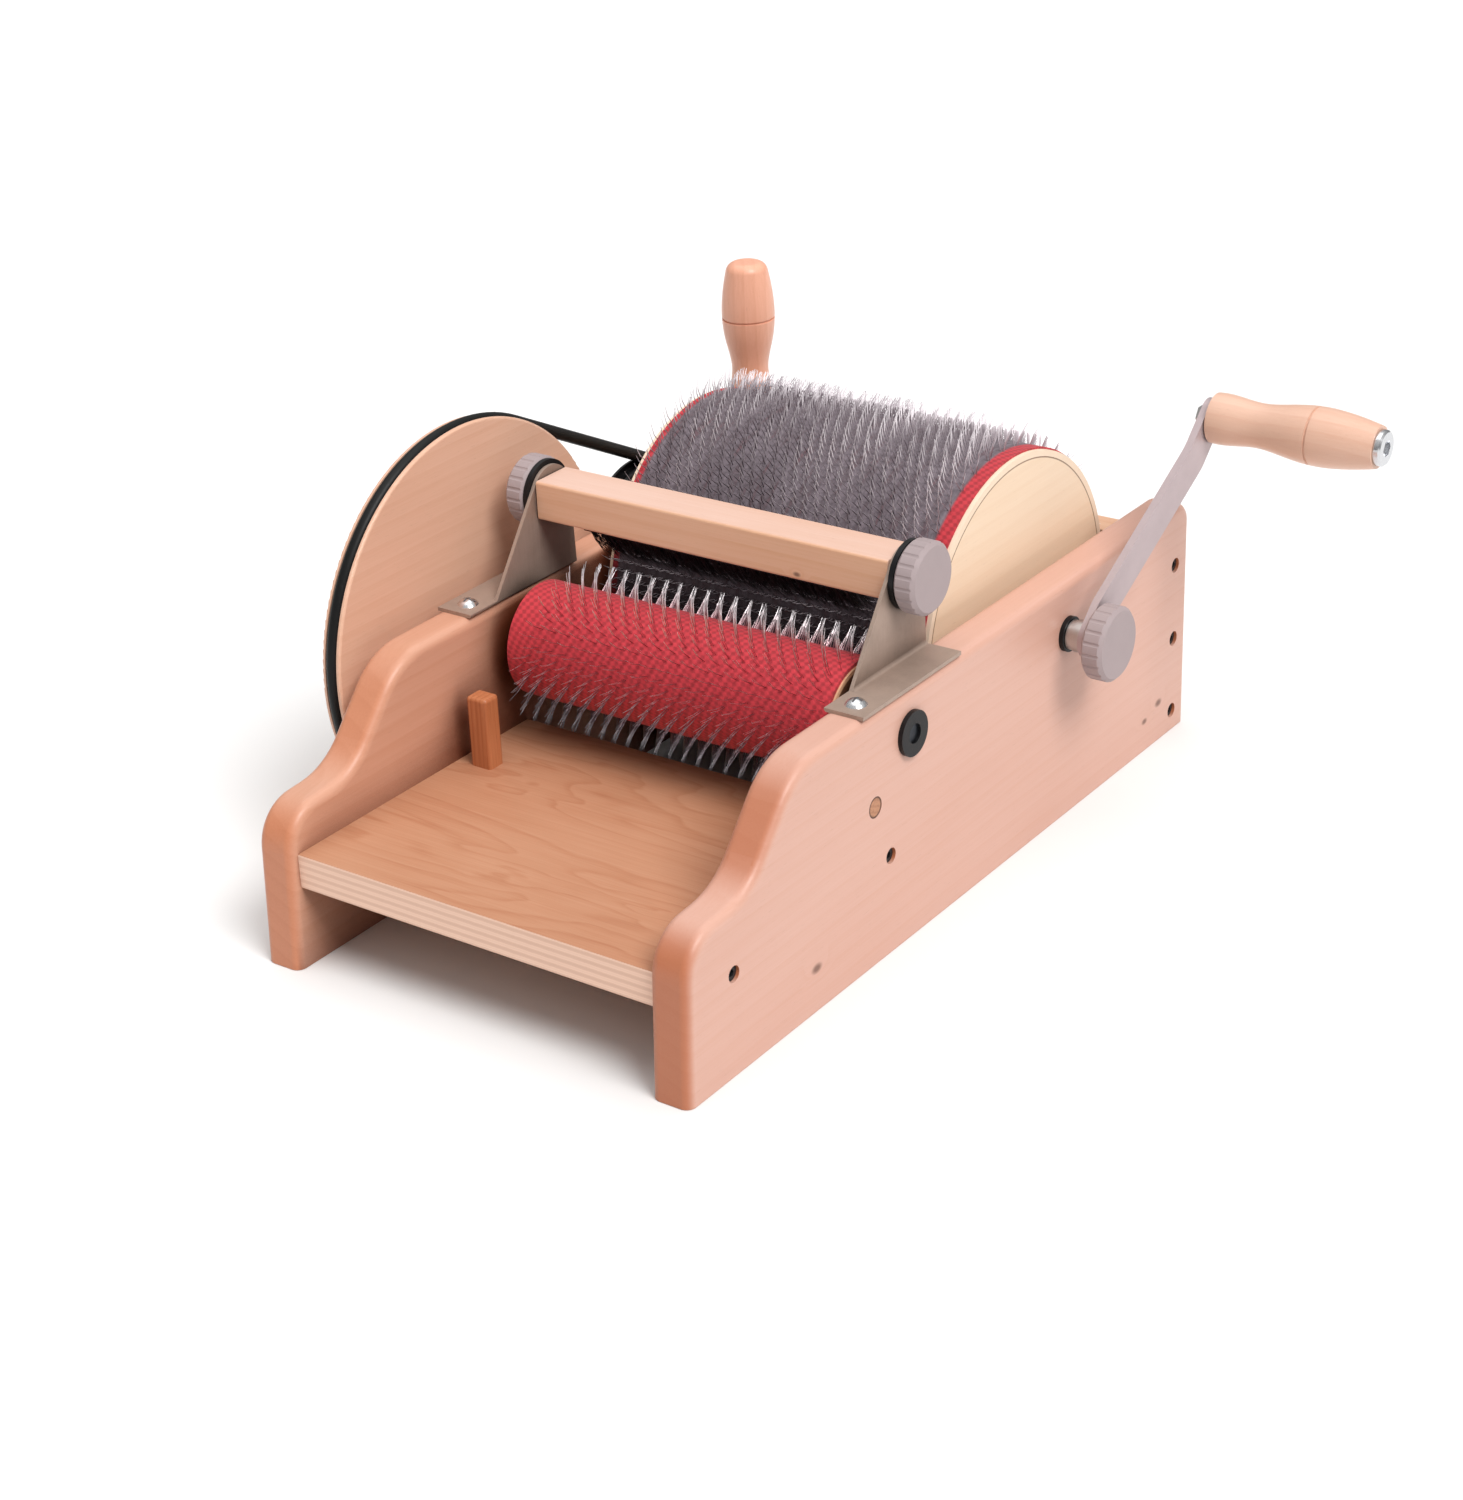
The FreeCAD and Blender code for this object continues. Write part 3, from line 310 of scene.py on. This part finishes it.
def metal(name, colour, rough=0.35, brush=None, grime=0.2, metallic=1.0, scratch=0.25, corner_shade_tint=None):
    """Bare or plated metal, with brush lines along an axis and painted shade at each inside corner if wanted.
    """
    g = Graph(name)
    stretch = {None: (1, 1, 1), "x": (0.02, 1, 1), "y": (1, 0.02, 1), "z": (1, 1, 0.02)}[brush]
    lines = g.noise(g.mapped(g.point, stretch), 1600, 3, 0.7)
    cloud = g.noise(g.point, 60, 4, 0.6)
    tint = g.mix(g.range(cloud, 0.35, 0.75, 0.0, grime), colour, shade(colour, 0.55))
    tint = g.mix(g.range(lines, 0.3, 0.7, 0.0, scratch), tint, shade(colour, 1.35))
    shine = g.math("ADD", g.math("MULTIPLY", lines, 0.22),
                   g.math("MULTIPLY_ADD", cloud, 0.15, rough - 0.15))
    # Painted shade at each inside corner, from ambient occlusion.
    if corner_shade_tint is not None:
        tint = g.painted_occlusion_shade(tint, METAL_CORNER_REACH, corner_shade_tint)
    g.bump(lines, 0.1, 0.0001)
    return g.finish(tint, shine, metal=metallic)


def plastic(name, colour, rough=0.45, speckle=0.15, grain=1400, specular=0.4):
    """Moulded plastic: fine texture, faint mottling."""
    g = Graph(name)
    fine = g.noise(g.point, grain, 2, 0.5)
    cloud = g.noise(g.point, 90, 3, 0.6)
    tint = g.mix(g.range(cloud, 0.3, 0.75, 0.0, speckle), colour, shade(colour, 0.7))
    tint = g.mix(g.range(fine, 0.55, 0.8, 0.0, speckle), tint, shade(colour, 1.25, 0.01))
    g.bump(fine, 0.14, 0.0002)
    return g.finish(tint, g.math("MULTIPLY_ADD", fine, 0.2, rough - 0.08), specular=specular)


def paint(objects, material):
    """Give these CAD nodes or pieces one material."""
    for item in objects:
        target = NODES[item] if isinstance(item, str) else item
        target.data.materials.clear()
        target.data.materials.append(material)


# ----------------------------------------------------------------------- places
def centre(node):
    low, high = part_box(node)
    return (low + high) / 2


def radius_of(node):
    low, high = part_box(node)
    return (high.z - low.z) / 2


def new_object(name, verts, faces):
    """A mesh object in the scene, from its corners and faces."""
    mesh = bpy.data.meshes.new(name)
    mesh.from_pydata(verts, [], faces)
    mesh.validate()
    mesh.update()
    made = bpy.data.objects.new(name, mesh)
    bpy.context.scene.collection.objects.link(made)
    return made


LICKER = centre("licker_cloth")
DRUM = centre("drum_cloth")
PLUG = centre("panel_plug")


def card_cloth(name, axis, radius, red, lint=None, toothed=None):
    """Rubberised card cloth round a roller: a fine diagonal weave.

    lint is the colour of the fibre left over the toothed part, whose box is toothed. A cloth
    with lint also gets painted shade where other surfaces stand close by, in the gap round the drum.
    """
    g = Graph(name)
    x, y, z = g.split(g.point)
    angle = g.math("ARCTAN2", g.math("SUBTRACT", z, axis.z), g.math("SUBTRACT", y, axis.y))
    girth = g.math("MULTIPLY", angle, radius)
    across = g.math("SINE", g.math("MULTIPLY", g.math("MULTIPLY_ADD", girth, 0.35, x),
                                   2 * math.pi / WEAVE_ACROSS))
    along = g.math("SINE", g.math("MULTIPLY", g.math("MULTIPLY_ADD", x, -0.4, girth),
                                  2 * math.pi / WEAVE_ALONG))
    weave = g.math("MULTIPLY_ADD", along, 0.45, g.math("MULTIPLY", across, 0.55))
    cloud = g.noise(g.point, 70, 4, 0.6)
    fuzz = g.noise(g.point, 1500, 2, 0.6)
    colour = g.mix(g.range(weave, -0.7, 0.6), shade(red, 0.68), shade(red, 1.12))
    colour = g.mix(g.range(cloud, 0.35, 0.75, 0.0, 0.3), colour, shade(red, 0.78))
    colour = g.mix(g.range(fuzz, 0.55, 0.8, 0.0, 0.3), colour, shade(red, 1.25, 0.04))
    if lint is not None:
        low, high = toothed
        streak = g.noise(g.join(x, g.math("MULTIPLY", girth, 0.12), 0.0), 260, 4, 0.7)
        from_middle = g.math("ABSOLUTE", g.math("SUBTRACT", x, (low.x + high.x) / 2))
        half = (high.x - low.x) / 2
        inside = g.range(from_middle, half - 0.0015, half + 0.0005, 1.0, 0.0)
        cover = g.math("MULTIPLY", g.range(streak, 0.2, 0.5, 0.86, 1.0), inside)
        colour = g.mix(cover, colour, g.mix(g.range(streak, 0.35, 0.7), lint, shade(lint, 1.8)))
        # Painted shade in the gap round the drum, from ambient occlusion.
        colour = g.painted_occlusion_shade(colour, GAP_REACH, GAP_SHADE_TINT, 0.12, 0.42, all_round=True)
    g.bump(g.math("ADD", weave, fuzz), 0.3, 0.0003)
    return g.finish(colour, g.math("MULTIPLY_ADD", fuzz, 0.2, 0.6), specular=0.25,
                    Sheen_Weight=0.12, Sheen_Roughness=0.5)


def tooth_wire(name, bright, dull, bands, metallic, axis, root, tip, painted_foot_tint, under_shade_tint):
    """Tooth wire, with dull fibre-laden bands round the roller where bands is above 0.

    painted_foot_tint is painted near the cloth, fading between the radii root and tip: a painted
    reflection of the red cloth on the licker, painted shade on the drum. under_shade_tint is painted
    shade on wires that stand below the axis at the time; with None, the wires get painted shade where
    other surfaces stand close by.
    """
    g = Graph(name)
    x, y, z = g.split(g.point)
    band = g.noise(g.join(x, g.math("MULTIPLY", y, 0.12), g.math("MULTIPLY", z, 0.12)), 42, 4, 0.7)
    spots = g.noise(g.point, 160, 3, 0.6)
    dirt = g.math("MULTIPLY_ADD", g.range(band, 0.36, 0.62), bands * 0.85,
                  g.range(spots, 0.4, 0.75, 0.0, 0.25))
    colour = g.mix(g.math("MINIMUM", dirt, 1.0), bright, dull)
    # Painted tint near the cloth: reflection of the red cloth on the licker, shade on the drum.
    painted_foot_mask = g.range(g.off_axis(axis), root, tip, 1.0, 0.0)
    colour = g.mix(painted_foot_mask, colour, g.mix(1.0, colour, painted_foot_tint, "MULTIPLY"))
    # Painted shade on the wires below the roller's axis, by height in the world.
    if under_shade_tint is not None:
        in_world = g.tree.nodes.new("ShaderNodeNewGeometry").outputs["Position"]
        drop = g.math("SUBTRACT", axis.z, g.split(in_world)[2])
        colour = g.mix(g.range(drop, -0.004, 0.018), colour, g.mix(1.0, colour, under_shade_tint, "MULTIPLY"))
    else:
        # Painted shade where other surfaces stand close by, from ambient occlusion.
        colour = g.painted_occlusion_shade(colour, GAP_REACH, GAP_SHADE_TINT, 0.08, 0.35, all_round=True)
    return g.finish(colour, g.range(spots, 0.3, 0.7, 0.26, 0.38), metal=metallic)


def plug_face(axis, radius):
    """End grain of a round plug, darker round its rim."""
    g = Graph("plug_wood")
    _, y, z = g.split(g.point)
    out = g.off_axis(axis)
    ring = g.math("PINGPONG", g.math("DIVIDE", g.math("ADD", z, g.math("MULTIPLY", y, 0.4)), 0.0016), 1.0)
    grain = g.noise(g.point, 900, 3, 0.6)
    colour = g.mix(g.range(ring, 0.3, 0.9, 0.0, 0.4), linear(186, 134, 102), linear(150, 100, 72))
    colour = g.mix(g.range(grain, 0.4, 0.7, 0.0, 0.3), colour, linear(120, 76, 54))
    colour = g.mix(g.range(out, radius * 0.72, radius * 0.94), colour, linear(82, 54, 42))
    g.bump(grain, 0.15, 0.0003)
    return g.finish(colour, g.math("MULTIPLY_ADD", grain, 0.2, 0.4), specular=0.3)


# ------------------------------------------------------------------------ teeth
def card_teeth(name, axis, root, tip, start, end, pitch, rows, shifts, offsets, lean, wire, seed,
               disorder=1.0, splay=0.0, slant=0.0):
    """Bent wire teeth round a roller as one mesh; each is a closed, tapered wire with a knee.

    Rows run along x. Row n is shifted by shifts[n % len(shifts)], and each place in a row
    holds one wire at every offset. lean tips the wires round the roller past the knee,
    splay tips them along x, and disorder scales how far they stray from the pattern.
    slant is how much later the first wires stand at the top of the roller than below it,
    as the cloth's strip begins at a slant.
    """
    knee = 0.5
    sunk = 0.06
    widths = (1.0, 0.92, 0.42)
    sides = 3
    rng = np.random.default_rng(seed)
    first = math.floor((start - axis.x) / pitch) - 1
    last = math.ceil((end - axis.x) / pitch) + 2
    columns = np.arange(first, last) * pitch
    places = []
    for row in range(rows):
        turn = 2 * math.pi * row / rows
        for place in columns + shifts[row % len(shifts)]:
            for offset in offsets:
                x = axis.x + place + offset
                if start + slant * (1 + math.sin(turn)) / 2 < x < end:
                    places.append((x, turn))
    places = np.array(places)
    count = len(places)
    places[:, 0] += rng.normal(0, pitch * 0.012 * disorder, count)
    places[:, 1] += rng.normal(0, 0.06 / rows, count)
    tall = tip - root
    knees = knee + rng.normal(0, 0.015, count)
    leans = lean + rng.normal(0, 0.03 * disorder, count)
    tilts = splay + rng.normal(0, 0.03 * disorder, count)
    tops = 1.0 - np.abs(rng.normal(0, 0.02, count))
    turn = places[:, 1]
    radial = np.stack([np.cos(turn), np.sin(turn)], 1)
    tangent = np.stack([np.sin(turn), -np.cos(turn)], 1)
    verts = np.zeros((count, 3 * sides, 3))
    for level, (width, height) in enumerate(zip(widths, (np.full(count, -sunk), knees, tops))):
        bend = np.maximum(0, height - knees) * tall * leans - 0.04 * tall * np.minimum(height, knees)
        drift = tall * np.maximum(0, height) * tilts
        reach = np.sqrt((root + tall * height) ** 2 - bend ** 2)
        for corner in range(sides):
            around = 2 * math.pi * corner / sides
            swing = bend + width * wire * math.sin(around)
            ring = radial * reach[:, None] + tangent * swing[:, None]
            spot = verts[:, level * sides + corner]
            spot[:, 0] = places[:, 0] + drift + width * wire * math.cos(around)
            spot[:, 1] = axis.y + ring[:, 0]
            spot[:, 2] = axis.z + ring[:, 1]
    quads = []
    for level in range(2):
        for corner in range(sides):
            after = (corner + 1) % sides
            quads.append((level * sides + corner, level * sides + after,
                          (level + 1) * sides + after, (level + 1) * sides + corner))
    caps = [(2, 1, 0), (6, 7, 8)]
    firsts = (np.arange(count) * 3 * sides)[:, None, None]
    faces = (np.array(quads)[None] + firsts).reshape(-1, 4).tolist()
    faces += (np.array(caps)[None] + firsts).reshape(-1, 3).tolist()
    return new_object(name, verts.reshape(-1, 3).tolist(), faces)


def bristle_tufts(name, seed):
    """The packer brush's filaments: tufts in staggered rows, fanned, and bent back near the drum."""
    rng = np.random.default_rng(seed)
    low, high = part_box("brush_holder")
    base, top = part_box("brush_bristles")
    rows = 4
    pitch = 0.0058
    per_tuft = 30
    tuft_radius = 0.0016
    row_margin = 0.0015
    end_margin = 0.003
    first_tip = 0.0175
    tips_inset = 0.0185
    tip_gap = 0.0008
    tip_rise = 0.0105
    tip_jitter = 0.0022
    edge = 0.0005
    fan = 0.0028
    sag = 0.0028
    thinnest, thickest = 0.00018, 0.00027
    sides = 3
    heights = (0.0, 0.35, 0.7, 1.0)
    verts = []
    faces = []
    for row in range(rows):
        depth = (row + 0.5) / rows
        root_y = low.y + row_margin + (high.y - low.y - 2 * row_margin) * depth
        for tuft_x in np.arange(low.x + end_margin + (row % 2) * pitch / 2, high.x - end_margin, pitch):
            for _ in range(per_tuft):
                spin = rng.uniform(0, 2 * math.pi)
                out = tuft_radius * math.sqrt(rng.uniform(0, 1))
                start = np.array([tuft_x + out * math.cos(spin), root_y + out * math.sin(spin), low.z])
                tip_depth = min(1.0, max(0.0, depth + rng.normal(0, 0.14)))
                end_y = base.y + first_tip + (top.y - base.y - tips_inset) * tip_depth
                end_z = base.z + tip_gap + tip_rise * tip_depth ** 1.2 + rng.uniform(0, tip_jitter)
                end = np.array([start[0] + rng.normal(0, fan), end_y, end_z])
                end[0] = min(high.x - edge, max(low.x + edge, end[0]))
                bow = np.array([0, -sag + rng.normal(0, 0.0006), -0.001])
                middle = start * 0.45 + end * 0.55 + bow
                wide = rng.uniform(thinnest, thickest)
                first = len(verts)
                for height in heights:
                    rest = 1 - height
                    spot = start * rest ** 2 + middle * 2 * height * rest + end * height ** 2
                    thin = wide * (1 - 0.55 * height)
                    for corner in range(sides):
                        around = spin + 2 * math.pi * corner / sides
                        verts.append((spot[0] + thin * math.cos(around),
                                      spot[1] + thin * math.sin(around), spot[2]))
                for level in range(len(heights) - 1):
                    for corner in range(sides):
                        after = (corner + 1) % sides
                        a = first + level * sides
                        faces.append((a + corner, a + sides + corner, a + sides + after, a + after))
                faces.append((first, first + 1, first + 2))
                tip = first + (len(heights) - 1) * sides
                faces.append((tip + 2, tip + 1, tip))
    return new_object(name, verts, faces)


# ------------------------------------------------------------------------ pieces
low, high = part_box("licker_teeth")
licker_wires = card_teeth("licker_wire_teeth", LICKER, radius_of("licker_cloth"), radius_of("licker_teeth"),
                          low.x, high.x, LICKER_PITCH, LICKER_ROWS, (0.0, LICKER_PITCH / 2), PAIR_OFFSETS,
                          LICKER_LEAN, LICKER_WIRE, 11, slant=LICKER_SLANT)
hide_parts("licker_teeth")
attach(licker_wires, "licker")
low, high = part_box("drum_teeth")
drum_wires = []
drum_shifts = [DRUM_PITCH * step / 3 for step in range(3)]
for part, (seed, offset) in enumerate(zip((21, 22), PAIR_OFFSETS), start=1):
    wires = card_teeth(f"drum_wire_teeth_{part}", DRUM, radius_of("drum_cloth"), radius_of("drum_teeth"),
                       low.x, high.x, DRUM_PITCH, DRUM_ROWS, drum_shifts, (offset,),
                       DRUM_LEAN, DRUM_WIRE, seed, disorder=1.3, splay=offset * DRUM_SPLAY)
    drum_wires.append(wires)
    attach(wires, "drum")
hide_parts("drum_teeth")
tufts = bristle_tufts("brush_filaments", 31)
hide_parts("brush_bristles")
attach(tufts, "brush")

# --------------------------------------------------------------------- finishes
panel_wood = dict(light=linear(210, 167, 151), mid=linear(205, 157, 138), dark=linear(189, 133, 110))
front_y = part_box("side_panel_right")[0].y
knots = [(front_y + 0.104, 0.023, 0.0034), (front_y + 0.446, 0.023, 0.003),
         (front_y + 0.430, 0.018, 0.0024)]
# The panels' front_shade_tint is painted shade on faces towards -y.
paint(["side_panel_right"], wood("panel_right_wood", **panel_wood, heart=(0.04, -0.09), ring=0.009,
                                 contrast=0.5, knots=knots, front_shade_tint=(0.74, 0.43, 0.26)))
# The left panel is the same wood as the right one; its darker, more orange colours are painted shade and
# bounce light for its shaded inside face.
paint(["side_panel_left"], wood("panel_left_wood", light=linear(210, 160, 136), mid=linear(200, 146, 119),
                                dark=linear(180, 120, 90), heart=(-0.23, -0.12), ring=0.009,
                                contrast=0.5, front_shade_tint=(0.90, 0.65, 0.49), corner_shade_tint=(0.17, 0.065, 0.028),
                                seed=3.7))
tray_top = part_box("feed_tray")[1].z
paint(["feed_tray"],
      plywood("tray_plywood", linear(190, 140, 110), linear(182, 129, 98), linear(169, 112, 81),
              linear(237, 199, 177), linear(223, 182, 159), tray_top, TRAY_THICKNESS, TRAY_PLIES))
paint(["rear_panel"], wood("rear_wood", light=linear(230, 188, 158), mid=linear(216, 166, 132),
                           dark=linear(190, 132, 98), grain="x", heart=(0.30, -0.05), contrast=0.6, seed=1.3))
paint(["fibre_guide_left", "fibre_guide_right"],
      wood("guide_wood", light=linear(194, 125, 84), mid=linear(172, 101, 62), dark=linear(139, 74, 42),
           grain="z", heart=(0.1, -0.1), ring=0.003, seed=5.1))
paint(["panel_plug"], plug_face(PLUG, PLUG_RADIUS))
# The beam's front_shade_tint is painted shade on its faces towards -y.
paint(["brush_beam"], wood("beam_wood", light=linear(225, 191, 176), mid=linear(215, 173, 151),
                           dark=linear(193, 140, 110), grain="x", heart=(-0.06, 0.05), ring=0.008,
                           contrast=0.55,
                           knots=[(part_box("brush_beam")[0].x + 0.162, 0.1715, 0.0018)],
                           front_shade_tint=(1.0, 0.90, 0.73), seed=6.4))
paint(["crank_handle"], wood("grip_wood", light=linear(225, 187, 165), mid=linear(216, 171, 148),
                             dark=linear(195, 146, 119), grain="x", heart=(0.11, 0.12), ring=0.006,
                             rough=0.36, contrast=0.5, seed=7.7))
paint(["awl_handle"], wood("awl_wood", light=linear(236, 176, 149), mid=linear(223, 158, 129),
                           dark=linear(199, 132, 101), grain="z", heart=(-0.20, 0.15), ring=0.006, rough=0.36,
                           contrast=0.5, seed=8.8))
paint(["licker_pulley"], wood("pulley_wood", light=linear(224, 181, 156), mid=linear(213, 165, 138),
                              dark=linear(193, 141, 111), grain="y", heart=(-0.18, -0.22), ring=0.009,
                              contrast=0.5, seed=9.9))
# The discs' band is a painted shadow line in the gap at their rim.
paint(["drum_disc_left", "drum_disc_right"],
      wood("disc_wood", light=linear(236, 213, 187), mid=linear(228, 200, 170), dark=linear(212, 176, 142),
           grain="y", heart=(0.1, -0.2), ring=0.009, contrast=0.4,
           band=(DRUM, *DISC_RIM_SHADOW_RADII, (0.30, 0.22, 0.17)), seed=4.4))
# The core's band is painted shade over the middle of its end faces, as in a hollow end.
paint(["licker_core"], wood("core_wood", light=linear(230, 190, 156), mid=linear(210, 164, 128),
                            dark=linear(180, 132, 98), grain="x", heart=(-0.05, 0.11), ring=0.003,
                            band=(LICKER, *CORE_END_SHADE_RADII, (0.18, 0.14, 0.12)), seed=4.9))
red = linear(188, 52, 62)
paint(["licker_cloth"], card_cloth("licker_card_cloth", LICKER, radius_of("licker_cloth"), red))
paint(["drum_cloth"], card_cloth("drum_card_cloth", DRUM, radius_of("drum_cloth"), red,
                                 lint=linear(95, 86, 92), toothed=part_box("drum_teeth")))
# The licker wires take a painted reflection of the red cloth near it and painted shade below the axis; the
# drum wires take painted shade near the cloth and in the gap.
paint([licker_wires], tooth_wire("licker_wire_steel", linear(240, 234, 237), linear(190, 184, 188), 0.0, 1.0,
                                 LICKER, *LICKER_FOOT, (0.55, 0.34, 0.36), (0.13, 0.125, 0.13)))
paint(drum_wires, tooth_wire("drum_wire_steel", linear(255, 248, 252), linear(134, 122, 130), 0.95, 0.2,
                             DRUM, *DRUM_FOOT, (0.60, 0.56, 0.58), None))
paint([tufts], plastic("bristle_filament", (0.006, 0.006, 0.007), rough=0.5, speckle=0.05))
paint(["licker_shaft"], metal("dull_steel", (0.05, 0.055, 0.065), rough=0.4))
paint(["drum_shaft", "awl_blade", "handle_washer", "licker_pulley_washer", "drum_pulley_washer",
       "licker_pulley_nut", "drum_pulley_nut", "handle_nut", "licker_sleeve", "drum_sleeve", "crank_collar"],
      metal("turned_steel", (0.50, 0.49, 0.48), rough=0.36))
# The brackets' corner_shade_tint is painted shade at each inside corner.
paint(["brush_bracket_left", "brush_bracket_right"],
      metal("bracket_sheet", linear(166, 145, 132), rough=0.45, brush="z", grime=0.35, metallic=0.35,
            corner_shade_tint=(0.10, 0.08, 0.07)))
paint(["bracket_screws", "handle_bolt", "brush_stud_left", "brush_stud_right"],
      metal("bright_steel", (0.66, 0.67, 0.69), rough=0.2, grime=0.1, scratch=0.1))
paint(["panel_screws"], metal("dark_steel", (0.03, 0.03, 0.032), rough=0.4, metallic=0.6))
paint(["crank_arm"],
      metal("arm_paint", linear(184, 168, 170), rough=0.42, metallic=0.45, grime=0.15, scratch=0.1))
paint(["crank_knob", "brush_knob_left", "brush_knob_right"],
      plastic("grey_knob_plastic", linear(161, 146, 147), rough=0.55, speckle=0.1))
paint(["drum_shell"], plastic("drum_pipe", linear(236, 214, 190), rough=0.5))
paint(["crank_washer", "brush_washer_left", "brush_washer_right", "licker_bush_left", "licker_bush_right",
       "drum_bush_left", "drum_bush_right", "licker_spacer_left", "licker_spacer_right", "drum_spacer_left",
       "drum_spacer_right", "brush_holder", "drum_pulley"],
      plastic("black_moulding", (0.007, 0.007, 0.008), rough=0.38, speckle=0.3, specular=0.22))
paint(["drive_belt"],
      plastic("belt_rubber", (0.007, 0.007, 0.007), rough=0.42, speckle=0.4, grain=900, specular=0.2))

# --------------------------------------------------------- floor, light, camera
FLOOR_HALF = 250.0
FLOOR_DROP = 0.0003
FLOOR_GREY = (0.82, 0.82, 0.82)
floor_mesh = bpy.data.meshes.new("floor")
floor_corners = [(-FLOOR_HALF, -FLOOR_HALF, 0), (FLOOR_HALF, -FLOOR_HALF, 0),
                 (FLOOR_HALF, FLOOR_HALF, 0), (-FLOOR_HALF, FLOOR_HALF, 0)]
floor_mesh.from_pydata(floor_corners, [], [(0, 1, 2, 3)])
floor = bpy.data.objects.new("floor", floor_mesh)
bpy.context.scene.collection.objects.link(floor)
floor.location.z = -FLOOR_DROP
g = Graph("floor_paper")
floor_mesh.materials.append(g.finish(FLOOR_GREY, 0.9, specular=0.1))

# The sky is brighter overhead than at the horizon, which keeps undersides dark.
# OVERHEAD_HEIGHT is the z of the direction from which it is at its brightest.
HORIZON_LEVEL = 0.14
OVERHEAD_LEVEL = 0.62
OVERHEAD_HEIGHT = 0.7
world = bpy.data.worlds.new("studio")
bpy.context.scene.world = world
world.use_nodes = True
sky = world.node_tree
background = sky.nodes["Background"]
background.inputs["Color"].default_value = (1.0, 0.99, 0.98, 1)
sky_parts = sky.nodes.new("ShaderNodeSeparateXYZ")
sky.links.new(sky.nodes.new("ShaderNodeTexCoord").outputs["Generated"], sky_parts.inputs[0])
sky_level = sky.nodes.new("ShaderNodeMapRange")
sky_level.inputs["From Max"].default_value = OVERHEAD_HEIGHT
sky_level.inputs["To Min"].default_value = HORIZON_LEVEL
sky_level.inputs["To Max"].default_value = OVERHEAD_LEVEL
sky.links.new(sky_parts.outputs["Z"], sky_level.inputs["Value"])
sky.links.new(sky_level.outputs[0], background.inputs["Strength"])


def sun(name, source, strength, spread, colour=(1, 1, 1)):
    """A broad, even light from one side; source points towards the light."""
    lamp = bpy.data.lights.new(name, "SUN")
    lamp.energy = strength
    lamp.angle = math.radians(spread)
    lamp.color = colour
    made = bpy.data.objects.new(name, lamp)
    made.rotation_euler = Vector(source).to_track_quat("Z", "Y").to_euler()
    bpy.context.scene.collection.objects.link(made)


sun("key", (1.0, -0.30, 1.3), 2.5, 28, (1.0, 0.99, 0.98))
sun("top", (-0.15, 0.1, 1.0), 0.9, 60)

# The camera fitted to the photograph: its place, its angles in radians, and its focal
# length and height in the photograph's pixels.
CAMERA_PLACE = (0.7612, -1.1193, 0.7229)
FOCAL_PIXELS = 2925.1
PHOTO_HEIGHT = 1500
SENSOR_HEIGHT = 36
yaw, pitch, roll = 0.634, 0.454, -0.043
forward = Vector((-math.sin(yaw) * math.cos(pitch), math.cos(yaw) * math.cos(pitch), -math.sin(pitch)))
level = Vector((math.cos(yaw), math.sin(yaw), 0))
upright = level.cross(forward)
right = level * math.cos(roll) + upright * math.sin(roll)
upward = upright * math.cos(roll) - level * math.sin(roll)
camera_data = bpy.data.cameras.new("camera")
camera_data.sensor_fit = "VERTICAL"
camera_data.sensor_height = SENSOR_HEIGHT
camera_data.lens = SENSOR_HEIGHT * FOCAL_PIXELS / PHOTO_HEIGHT
camera = bpy.data.objects.new("camera", camera_data)
turn = Matrix((right, upward, -forward)).transposed()
camera.matrix_world = Matrix.Translation(CAMERA_PLACE) @ turn.to_4x4()
bpy.context.scene.collection.objects.link(camera)
bpy.context.scene.camera = camera
bpy.context.scene.view_settings.view_transform = "Standard"
